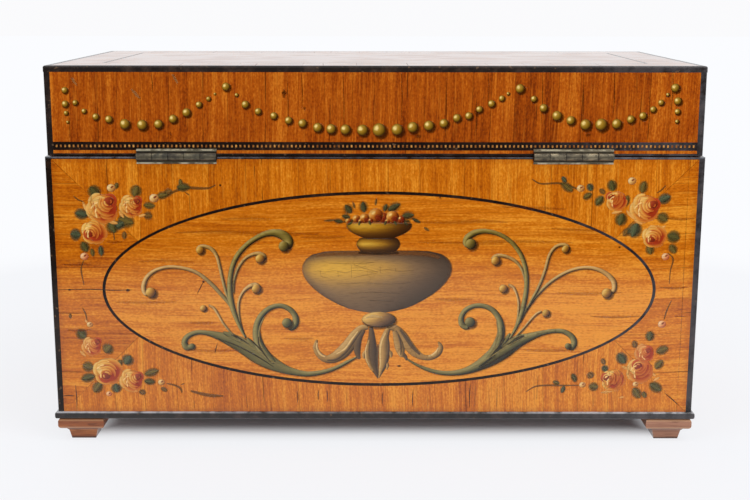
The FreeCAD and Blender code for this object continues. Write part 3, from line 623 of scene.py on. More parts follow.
# A scroll has its colours, its knob (u, v, radius) and a path of (u, v, half width).
left_scrolls = (
    (green, (-90.6, 49.4, 1.6), ((-9, 44, .3), (-14, 41.2, .9), (-20, 38, 1.1), (-27, 35.8, 1.3),
     (-34, 35, 1.5), (-41, 36.2, 2), (-47, 38.3, 2.9), (-53, 41.5, 4.2), (-59, 45.8, 5.2),
     (-65, 49.3, 4.3), (-71, 52.4, 3.6), (-77, 54.6, 2.3), (-83, 56.2, 1.4), (-88, 56.4, 1.3),
     (-92.3, 54.6, 1.5), (-94.2, 51.6, 1.7), (-93.2, 48.9, 1.8), (-90.8, 48.9, 1.2))),
    (green, None, ((-66, 51.5, .8), (-71, 54.8, 1.6), (-75.5, 56.6, .6))),
    (green, None, ((-57, 46.5, .8), (-61.5, 51, 1.4), (-63.5, 54, .4))),
    (green, (-43.6, 61.2, 2.6), ((-50, 40.5, 1.2), (-54, 45, 2.2), (-57.3, 50, 2.6), (-58.6, 55.5, 2.2),
     (-58.2, 60.5, 1.8), (-56, 65, 1.6), (-52, 68.6, 1.4), (-47, 69.9, 1.3), (-42.5, 68.3, 1.4),
     (-39.6, 64.8, 1.6), (-39.3, 61.2, 1.9), (-41.2, 58.8, 1.8), (-43.2, 58.6, 1))),
    (gilt, (-109.9, 76.7, 2.7), ((-68.8, 65, .35), (-71.5, 70.6, .9), (-75.8, 76, 1), (-81, 81.7, 1),
     (-87, 86.5, .95), (-94, 88.9, .9), (-101, 89.4, .9), (-107, 87.8, 1), (-111.3, 84.5, 1.2),
     (-113.2, 80.3, 1.3), (-113, 77, 1.2), (-111.6, 75.2, .8))),
    (dull, (-85.2, 97.7, 2.1), ((-70.6, 69, .35), (-72.8, 75.5, .7), (-74.4, 82, .85), (-75.8, 89, .85),
     (-77.2, 94.8, .9), (-79.6, 98.2, 1), (-82.8, 99.6, 1), (-85.5, 99.3, 1), (-87, 97.6, .6))),
    (dull, (-56.2, 93.4, 2.4), ((-69.5, 76, .3), (-69.2, 82, .6), (-67.2, 88.3, .75), (-64, 93, .8),
     (-60.5, 95.3, .85), (-57, 95.9, 1.2), (-54.4, 94.6, 1.5), (-54.2, 92.7, 1))),
    (gilt, (-58.3, 78.4, 2.4), ((-64.3, 53.5, .3), (-66, 59, .5), (-67.2, 66, .6), (-67, 72, .65),
     (-65, 76.6, .75), (-62, 79.4, 1.1), (-58.8, 80.3, 1.4), (-56.6, 78.8, 1.3))),
    (gilt, (-84.4, 68.7, 1.7), ((-68.5, 53.6, .25), (-71.6, 56.8, .5), (-74.8, 61, .6), (-77, 65, .65),
     (-79.3, 68.8, .7), (-82, 70.4, .55))),
    (olive, (-44.6, 99.6, 2.7), ((-64, 53.5, .4), (-66.2, 58, .8), (-68.4, 63.5, 1.2), (-70.3, 70, 1.5),
     (-71.2, 77, 1.5), (-70.9, 84, 1.4), (-69.2, 91, 1.4), (-66, 96.6, 1.4), (-61, 101.5, 1.4),
     (-55, 105, 1.5), (-50, 106.2, 1.9), (-45.5, 105.3, 2.5), (-42.4, 102.8, 2.4), (-41.9, 100.2, 1.9),
     (-43.5, 98.6, 1))))
right_scrolls = (
    (green, (94.6, 49, 1.6), ((12, 45, .25), (18.5, 40.6, .6), (25, 37.4, 1), (32, 35.5, 1.2),
     (39, 35.3, 1.5), (45.5, 36.7, 2.1), (51.5, 39.4, 3.1), (57.5, 43.2, 4.4), (63.5, 47.2, 4.6),
     (69.5, 51, 3.6), (75.5, 53.6, 2.4), (81.5, 55.6, 1.5), (87.5, 56.7, 1.2), (92.5, 56.3, 1.3),
     (96.2, 54, 1.5), (97.7, 50.8, 1.7), (96.6, 48.4, 1.8), (94.6, 48.3, 1.1))),
    (green, None, ((64, 49.5, .8), (69.5, 53.2, 1.5), (73.2, 55, .5))),
    (green, None, ((60.5, 47, .8), (64.6, 53, 1.2), (66, 56, .3))),
    (green, (46.1, 61.3, 2.7), ((50, 38.5, 1), (55, 43, 2), (59, 48, 2.6), (61.2, 53.5, 2.3),
     (61.6, 58.5, 1.9), (60.2, 63.4, 1.6), (57, 67.5, 1.4), (52.5, 69.5, 1.3), (47.8, 69.4, 1.3),
     (43.8, 67.2, 1.4), (41.9, 63.8, 1.5), (42.2, 60.4, 1.6), (44.2, 58.6, 1.3), (46, 58.6, .8))),
    (gilt, (112.7, 75.7, 2.6), ((70.4, 60.8, .35), (74, 68.2, .8), (79.5, 75.8, .85), (85.8, 82, .9),
     (93, 86.4, .9), (100, 88.4, .9), (106.6, 88, 1), (112.2, 85.4, 1.2), (115.8, 81.6, 1.35),
     (116.3, 78, 1.35), (115, 75.6, 1))),
    (dull, (91.9, 97.7, 2), ((73, 66.5, .35), (76.3, 72.8, .7), (79.8, 80, .8), (82.3, 87.5, .85),
     (84, 94.3, .9), (86.4, 98.3, .9), (89.6, 99.9, .85), (92.4, 99.5, .9), (93.8, 97.8, .5))),
    (dull, (58.2, 92, 2.3), ((72.9, 80, .3), (71.6, 86.2, .6), (69.2, 90.4, .75), (65.8, 93.1, .8),
     (61.8, 94.5, .9), (58.2, 94.4, 1.1), (56.2, 92.6, .9))),
    (gilt, (62.2, 78.1, 2.2), ((68.3, 57.5, .3), (69.6, 64, .55), (69.8, 70.5, .6), (68.8, 75.3, .6),
     (66.9, 78.9, .7), (64.3, 80.2, .7))),
    (gilt, (83.3, 65.7, 2), ((68.2, 53.3, .25), (71.8, 57.2, .5), (75.4, 61.8, .55), (78.6, 65.4, .6),
     (81.4, 66.9, .55))),
    (olive, (45.9, 100.5, 2.8), ((65.5, 52.5, .4), (68, 56.8, .8), (70.6, 63, 1.2), (72.4, 70.2, 1.4),
     (73.4, 78, 1.3), (73.3, 84.8, 1.25), (71.7, 91.8, 1.2), (68.9, 97.3, 1.15), (64.4, 102.3, 1.1),
     (58.9, 105.4, 1.1), (52.7, 106.7, 1.3), (47.6, 105.8, 1.7), (44.2, 103.3, 1.8), (43.4, 100.8, 1.4),
     (44.4, 99, .8))))
pale_veins = (
    ((-46, 38.6), (-52, 42.2), (-58.5, 46.8), (-65.5, 51.2), (-73, 54.2), (-81, 56)),
    ((-54, 44), (-57.4, 48.2), (-60.4, 51.6)), ((-60, 48.6), (-65, 53), (-68.5, 54.8)),
    ((-53.4, 44.6), (-57, 51), (-57.2, 58), (-54.6, 64.4)),
    ((46, 37.4), (52, 40.6), (58.5, 44.8), (65, 49.2), (72, 52.9), (79, 55.2)),
    ((56, 44), (60, 48.6), (62.6, 52)), ((62, 48.4), (66.6, 52.4), (70.6, 54.4)),
    ((54, 42.4), (58.4, 48.8), (60, 55.4), (59.2, 62)))
dark_veins = (
    ((-50, 38.4), (-57, 43.2), (-64, 47.4), (-71, 50.8), (-78, 53.4)),
    ((-55, 45.4), (-58.6, 49.6), (-61.5, 52.6)), ((-61.5, 49.8), (-67, 53.4), (-71.5, 55.3)),
    ((-51.6, 40.8), (-55.2, 45.6), (-57.6, 50.4), (-57.6, 55)),
    ((50, 36.8), (56.5, 40.4), (63, 44.6), (70, 48.8), (77, 52.4)),
    ((57.6, 45.6), (61.6, 50), (64, 53.4)), ((63.8, 49.2), (68.8, 52.8), (72.6, 54.6)),
    ((55.4, 42), (60.2, 48.4), (62.4, 54), (61.8, 59)))
vein = (104, 92, 54), (134, 116, 66), (160, 138, 82)
shadow = (40, 24, 10), (50, 34, 18)


def paint_scrolls(brush):
    """The scrolls on both sides of the urn, each with its shade, and the veins of their leaves."""
    for colours, knob, path in left_scrolls + right_scrolls:
        brush.stroke([(u + 0.5, v - 0.4, half + 0.2) for u, v, half in path], tube(shadow), 0.9, 0.6, 0.35)
        brush.stroke(path, vine(colours))
        if knob:
            u, v, size = knob
            brush.knob(u + 0.35 * size, v - 0.3 * size, size * 1.2, size * 1.2, shadow,
                       covers=(0.8, 0.6, 0.3, 0))
            brush.knob(u, v, size, size, knob_gold if colours in (gilt, dull) else colours)
    for colours, half, veins in ((vein, 0.42, pale_veins), (shadow, 0.36, dark_veins)):
        for path in veins:
            brush.stroke([(u, v, half * wide) for (u, v), wide in zip(path, (0.4, 1, 1, 0.8, 0.5, 0.3))],
                         tube(colours), 0.9, 0.8)


def behind(out):
    """Places on a face at the back, out millimetres behind the middle of the box.

    The drawing lies a little to the right of the middle and rises by a hair towards the right."""
    return lambda u, v, height: Vector((-u - 0.45, out + height, v + 0.4 + 0.004 * u)) / 1000


def before(out):
    """Places on a face at the front, with the urn in its middle."""
    return lambda u, v, height: Vector((u - urn_middle, -out - height, v)) / 1000


def beside(out, way):
    """Places on the left end (way -1) or the right end (way 1)."""
    return lambda u, v, height: Vector((way * (out + height), way * (u - urn_middle), v)) / 1000


def half_sizes(node):
    """Half the width and the depth of a solid that lies round the middle, in millimetres."""
    return [round(far * 1000, 2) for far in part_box(node)[1][:2]]


def four_faces(half_wide, half_deep):
    """How to find places on each side of the case or of the lid."""
    return {"back": behind(half_deep), "front": before(half_deep),
            "left": beside(half_wide, -1), "right": beside(half_wide, 1)}


urn_middle = 0.6
case_faces = four_faces(*half_sizes("case_edge_stringing"))
long_sides = "back", "front"
for side in long_sides:
    brush = Brush(case_faces[side])
    paint_scrolls(brush)
    brush.piece(f"{side}_scrolls", "case")


# Painted urn: a broad bowl on leafy feet, with a neck ring and a dish of peaches above it.
# It stands in the middle of the oval, gold on its left shoulder and brown in the shade.
def paint_vessel(brush, colours, middle, rows):
    """A round vessel: rows of (height, half width, brightness) from the top down."""
    ways = (-1, -0.97, -0.86, -0.7, -0.5, -0.3, -0.1, 0.1, 0.3, 0.5, 0.66, 0.8, 0.9, 0.97, 1)
    fall = (0.5, 0.6, 0.86, 1, 1, 0.96, 0.88, 0.78, 0.64, 0.46, 0.32, 0.2, 0.13, 0.1, 0.1)
    thick = [0 if abs(way) == 1 else 0.85 if abs(way) > 0.95 else 1 for way in ways]
    points, shades = [], []
    for i, (v, half, bright) in enumerate(rows):
        cover = 0 if i in (0, len(rows) - 1) else 1
        points.append([(middle + way * half, v, cover * part) for way, part in zip(ways, thick)])
        shades.append([mixed(colours, min(1, bright * gain)) for gain in fall])
    brush.sheet(points, shades)


def leaf(brush, u, v, half_long, half_wide, angle, colours, smudge=0.0):
    """A pointed leaf along an angle, with one half in the light and its colour smudged out round it."""
    way = Vector((math.cos(angle), math.sin(angle)))
    if smudge:
        brush.knob(u, v, half_long * 1.15, half_wide * 1.6, colours[1:3], angle, 14,
                   (smudge, smudge, smudge * 0.45, 0))
    path = [(u + way.x * half_long * t, v + way.y * half_long * t, half_wide * w)
            for t, w in ((-1, 0.12), (-0.55, 0.75), (-0.05, 1), (0.5, 0.66), (1, 0.06))]
    brush.stroke(path, tube(colours), 0.6, 0.95, 0.9 - 0.6 * smudge)


bowl = (56, 42, 30), (92, 70, 50), (130, 99, 64), (180, 134, 60), (214, 162, 58)
dish = (46, 24, 8), (78, 44, 12), (122, 78, 18), (172, 120, 24), (208, 160, 56)
neck_ring = (46, 26, 12), (80, 50, 18), (122, 80, 22), (172, 122, 32), (210, 162, 56)
foot_ring = (52, 34, 24), (82, 58, 40), (122, 88, 54), (176, 130, 62), (224, 178, 96)
shaded = (48, 34, 26), (64, 47, 34), (88, 66, 44), (114, 86, 52)
acanthus = (56, 40, 26), (90, 66, 38), (126, 94, 50), (168, 126, 68), (206, 164, 100)
cream = (150, 110, 62), (184, 142, 82), (212, 172, 106), (232, 198, 134)
peach = (60, 20, 4), (98, 38, 8), (142, 68, 16), (180, 104, 32), (222, 160, 76)
cherry = (58, 14, 4), (92, 28, 8), (130, 50, 16), (172, 86, 34)
umber = (108, 60, 18), (146, 88, 34)
blushed = (104, 26, 10), (146, 50, 20)
sunlit = (226, 164, 76), (250, 214, 134)
dark_leaf = (30, 28, 16), (52, 48, 26), (74, 70, 40), (98, 94, 58)
brown_leaf = (86, 54, 22), (104, 70, 30), (122, 86, 40), (140, 104, 54)
crazing = (
    ((-30, 87.8), (-25, 86.8), (-20, 87.4), (-15.4, 86.4), (-9, 87.6), (-2, 86.6), (5, 87.8), (12, 87),
     (20, 87.6)),
    ((-12, 91), (-6, 88.6), (1, 86.4), (-6, 85), (-12, 83.6)), ((-27, 89), (-26.6, 84.6), (-22, 83.8)),
    ((-18.6, 88.6), (-18.2, 83)), ((-12, 91.4), (-11.8, 82.6)), ((2, 90.6), (2.3, 84.8)),
    ((9.5, 89.6), (9.7, 85.6)), ((-24, 91.2), (-12, 90.8), (0, 91.4)),
    ((-20, 80.6), (-6, 81.2), (6, 80.6), (18, 81.4)), ((-14, 76), (0, 76.4), (13, 75.8)),
    ((-4, 72.4), (10, 72)))
urn_leaves = (
    (-13.3, 117.8, 2.6, 1.8, 2.2, dark_leaf), (-6, 118.8, 2.8, 1.7, 1.7, dark_leaf),
    (8.8, 118.6, 3.6, 1.7, .5, dark_leaf), (15.4, 114.4, 3.2, 1.7, .1, dark_leaf),
    (19.5, 112, 2.4, .8, -.5, dark_leaf), (24.5, 107.8, 1.6, .6, -.6, brown_leaf),
    (-18, 111.8, 2.4, 1, 3.0, dark_leaf), (-22, 112.2, 3.4, .5, 3.2, brown_leaf),
    (-14.4, 114, 2.2, 1.2, 2.9, dark_leaf), (-10.6, 119.6, 1.8, .5, 1.9, brown_leaf),
    (0, 121.2, 1.8, .5, 1.4, brown_leaf), (4.6, 118.4, 2, 1.2, 1.2, dark_leaf))
fruit = (
    (-13.4, 111.8, 1.6, peach), (-9.4, 113, 2.1, peach), (12, 112.6, 2.1, cherry),
    (-5.4, 113.2, 2.6, peach), (3.6, 113.4, 2.8, cherry), (8, 113.8, 3.4, peach), (0, 114.6, 3.8, peach),
    (-2.6, 112, 1.5, cherry), (-7.4, 111.8, 1.2, peach), (5.6, 111.8, 1.3, peach))
dish_leaves = (
    (-12.6, 110.6, -2.6), (-8, 110.8, -1.8), (-3, 111, -1.2), (4.6, 110.9, -2), (9.4, 110.8, -1),
    (14.6, 110.4, -.5))
foot_leaves = (
    (acanthus, ((-3.5, 59, 1.2), (-7, 58.2, 2), (-10.3, 54.5, 2.9), (-13, 50, 3.5), (-16.5, 46, 3.6),
     (-20.8, 43.2, 2.9), (-25, 42.8, 2), (-28.3, 45.4, 1.6), (-29.7, 49, 1.3), (-28.9, 52.8, .5))),
    (acanthus, ((5.5, 59, 1.2), (9.5, 58.2, 2), (12.8, 54.6, 2.7), (15.8, 50, 2.8), (19.2, 46, 2.4),
     (23.2, 43.5, 1.6), (27.4, 43.4, 1.5), (30.8, 45.6, 1.7), (32, 48.8, 1.3), (30.6, 51.6, .4))),
    (shaded, ((-5.5, 57.5, .8), (-8, 53.5, 1.6), (-9.2, 48.5, 2), (-8.6, 44, 1.2), (-7.6, 42.6, .4))),
    (acanthus, ((9, 57.6, 1), (10.6, 53, 2.2), (12, 48, 2.6), (13, 43.4, .9))),
    (shaded, ((13.4, 46, .5), (14.8, 43.6, .9), (15.2, 41.6, .3))),
    (shaded, ((10.6, 56, .3), (12, 51.6, .5), (12.4, 47, .4), (12.2, 44, .2))),
    (shaded, ((-2.4, 59.4, 1), (-2, 54.5, 1.8), (-2, 49.5, 2.7), (-2, 44.5, 3.1), (-1.2, 39.5, 2.4),
     (.4, 34.8, 1), (1.1, 32.4, .2))),
    (acanthus, ((-3, 53, .4), (-4, 48.6, 1.2), (-4.2, 44, 1.5), (-3, 39.8, 1.1), (-1, 36, .4))),
    (acanthus, ((6.4, 58.8, 1.2), (4.8, 54.5, 1.9), (4, 49.5, 2.7), (4.2, 44.5, 2.9), (3.6, 39.5, 2.1),
     (2.2, 35, .9), (1.5, 32.6, .2))),
    (acanthus, ((-4.4, 47.4, .5), (-5.8, 45.2, 1), (-5.8, 42.6, .4))),
    (acanthus, ((6, 47.2, .5), (7.4, 45.6, 1), (7.6, 43.2, .4))),
    (acanthus, ((5, 41.4, .5), (5.9, 39.4, .8), (5.4, 37, .3))),
    (shaded, ((5.6, 55.4, .3), (6.2, 50, .7), (5.9, 45, .8), (4.8, 40, .5), (2.6, 35.4, .2))),
    (shaded, ((1.1, 50.5, .3), (.9, 46, .5), (1, 40, .45), (1.3, 34, .2))),
    (cream, ((5.2, 56.6, .25), (3, 51.4, .5), (2.3, 46, .55), (2.4, 40.6, .35), (1.9, 36, .15))),
    (shaded, ((11.5, 58, .4), (14.8, 53.4, .9), (18.2, 48.5, .9), (22.2, 44.4, .5))),
    (shaded, ((-6.6, 58, .3), (-10.4, 52.6, .6), (-14.6, 46.6, .7), (-19.6, 42.6, .6), (-24.6, 42, .3))),
    (cream, ((-8.5, 57.2, .3), (-11.8, 52.6, .6), (-15.2, 47.8, .6), (-19.8, 44.9, .4))),
    (cream, ((-28.8, 51.6, .3), (-29, 48.4, .6), (-27.2, 45, .6), (-24.4, 43.6, .4))),
    (cream, ((31, 48.6, .3), (30, 46.4, .7), (28, 44.6, .7), (25.4, 43.9, .4))),
    (cream, ((-4.2, 50.4, .2), (-5, 46.4, .4), (-4.6, 42.4, .3), (-3, 39, .15))))


def paint_urn(brush):
    """The urn, from the bowl through its fruit to the leafy feet."""
    paint_vessel(brush, bowl, urn_middle, ((97.5, 17, .3), (96.9, 26, .34), (95.4, 32, .44),
                                           (93.2, 35, .66), (90.4, 36.7, .94), (87.6, 37, 1),
                                           (84.6, 36.2, .86), (81.4, 34.2, .68), (78.2, 31.2, .55),
                                           (75, 27.2, .46), (72.2, 22.6, .4), (70, 18.4, .36),
                                           (68.4, 14.4, .33), (67.2, 9.6, .3), (66.4, 5, .28),
                                           (66, 3, .28)))
    for path in crazing:
        brush.stroke([(u, v, 0.13) for u, v in path], tube(shadow), 1.6, 0.4)
    brush.stroke(((-30, 94.6, .8), (-20, 95.7, 1.5), (0, 96, 1.6), (22, 95.6, 1.5), (32, 93.6, .9)),
                 tube(umber), 1.6, 0.55, 0.3)
    brush.stroke(((-9.5, 96.3, .8), (1.2, 95.9, 1.1), (12, 96.2, .8)), tube(shadow), 1.2, 0.7, 0.3)
    paint_vessel(brush, neck_ring, 1.2, ((104.2, 6, .12), (103.4, 9.2, .25), (102, 10.4, .72),
                                         (100.5, 10.9, 1), (99, 10.4, .62), (97.6, 9.4, .25),
                                         (96.7, 8, .12), (96.2, 6.5, .1)))
    for shape in urn_leaves:
        leaf(brush, *shape, 0.4)
    brush.stroke(((-16, 111.4, .6), (-8, 112.4, 1.4), (1, 112.6, 1.7), (10, 112.2, 1.4), (17, 111.4, .6)),
                 tube(dark_leaf[:3]), 1.2, 0.9, 0.4)
    for u, v, size, colours in fruit:
        brush.knob(u, v, size, size * .95, colours)
        brush.knob(u + size * .3, v - size * .3, size * .6, size * .5, blushed, -0.6, 12, (.7, .55, .25, 0))
        brush.knob(u - size * .3, v + size * .32, size * .36, size * .24, sunlit, 0.7, 10, (.9, .8, .4, 0))
    paint_vessel(brush, dish, 1.6, ((111.2, 15.2, .5), (110.4, 16, .9), (109.1, 16.1, .92),
                                    (107.7, 15.3, .72), (106.3, 13.6, .5), (105.1, 11.4, .32),
                                    (104.1, 9, .2), (103.3, 6.8, .12), (102.7, 4.8, .1)))
    for u, v, angle in dish_leaves:
        leaf(brush, u, v, 1.5, .7, angle, dark_leaf)
    for colours, path in foot_leaves:
        brush.stroke(path, tube(colours), 0.7)
    brush.knob(2.1, 61.6, 9.2, 4.2, shadow, 0.0, 24, (.8, .7, .4, 0))
    brush.knob(1.6, 62.8, 9, 4.1, foot_ring, 0.0, 24)
    brush.stroke(((-5.4, 63.4, .3), (-2.4, 64.3, .9), (.8, 64.3, .8), (4, 63.6, .3)), tube(cream[1:]), 0.7,
                 0.6, 0.3)


for side in sides:
    brush = Brush(case_faces[side])
    paint_urn(brush)
    brush.piece(f"{side}_urn", "case")


# Painted roses: a spray in each corner of the case, three open roses with buds, leaves and trailing stems.
# Cream and red are worked wet into each other, petal over petal round a dark heart.
def rose(brush, u, v, size, heart_u, heart_v, blush):
    """An open rose, light on its upper left and red below; blush is how red the whole is."""
    lights = (146, 50, 14), (182, 86, 26), (210, 126, 42), (230, 166, 68), (246, 204, 112)
    coral = 178, 62, 34
    petals = [mixed((light, coral), blush * (0.75 - 0.1 * k)) for k, light in enumerate(lights)]
    reds = (150, 44, 18), (180, 66, 30), (204, 96, 48)
    heart = (98, 26, 12), (130, 42, 20), (160, 66, 34)

    def arc(middle_u, middle_v, out, start, end, half, lift=0.0, colours=petals):
        """A petal's edge round part of a circle, thick in the middle and paler outside."""
        def paint(across, along, side):
            bright = 0.1 + lift + 0.55 * lit((side.x * .9, side.y * .9)) + 0.25 * across
            return mixed(colours, min(1, max(0, bright)))

        turns = [(start + (end - start) * t, half * w)
                 for t, w in ((0, .15), (.25, .85), (.5, 1), (.75, .8), (1, .15))]
        brush.stroke([(middle_u + out * math.cos(turn), middle_v + out * math.sin(turn), wide)
                      for turn, wide in turns], paint, 0.5, 0.92)

    away = math.atan2(v - heart_v, u - heart_u)
    for start, out in ((2.2, .84), (3.3, .92), (4.3, .9), (5.2, .82)):
        arc(u, v, size * out, start + away * .2, start + away * .2 + 1.3, size * 0.2, 0.22)
    brush.knob(u, v, size * 0.88, size * 0.84, petals[:4])
    arc(u, v, size * 0.62, -2.5, 0.7, size * 0.24, 0.0, reds)
    arc(u, v, size * 0.6, 1.3, 3.9, size * 0.2, 0.4)
    for out, spread, lean, half in ((1.14, .62, -.3, .2), (1.0, .4, .55, .15), (.84, .95, .2, .13),
                                    (.6, 1.1, -.3, .14), (.42, 1.2, .3, .1)):
        start, end = away + lean - spread, away + lean + spread
        arc(heart_u, heart_v, size * out, start, end, size * half, 0.2)
        arc(heart_u, heart_v, size * (out - half), start, end, size * 0.045, 0.1, reds)
    brush.knob(heart_u, heart_v, size * 0.34, size * 0.29, heart, blush)
    arc(heart_u, heart_v, size * 0.42, away + 1.6, away + 4.4, size * 0.11, 0.1, reds)
    arc(heart_u, heart_v, size * 0.25, away - 1.2, away + 0.9, size * 0.08, 0.3)
    arc(heart_u, heart_v, size * 0.14, away + 1.2, away + 3.2, size * 0.06, 0.2)
    for k in range(4):
        turn, out = 2.3 + k * 0.45 + blush, size * (0.5 + 0.16 * (k % 2))
        leaf(brush, u + out * math.cos(turn), v + out * math.sin(turn), size * 0.19, size * 0.07,
             turn + 0.9, (petals[3], (250, 218, 150)))


def bud(brush, u, v, size, pink):
    """A bud just opening: a pale drop with a dark split."""
    brush.knob(u, v, size, size * 0.9, pink_bud if pink else pale_bud)
    leaf(brush, u + size * 0.2, v + size * 0.25, size * 0.5, size * 0.26, 0.6, split)


pink_bud = (150, 66, 36), (196, 110, 66), (222, 156, 100), (240, 194, 140)
pale_bud = (138, 78, 32), (184, 124, 60), (216, 166, 94), (238, 202, 138)
split = (96, 34, 18), (126, 52, 28), (150, 74, 42)
fallen = (190, 112, 44), (216, 148, 70), (234, 180, 102)
green_leaf = (52, 42, 18), (68, 60, 28), (88, 82, 42), (112, 106, 62)
blue_leaf = (46, 44, 28), (60, 62, 42), (78, 84, 58), (104, 112, 80)
moss_leaf = (68, 48, 18), (88, 68, 28), (108, 90, 42), (130, 112, 60)
stem = (92, 52, 18), (114, 70, 26), (136, 90, 38)
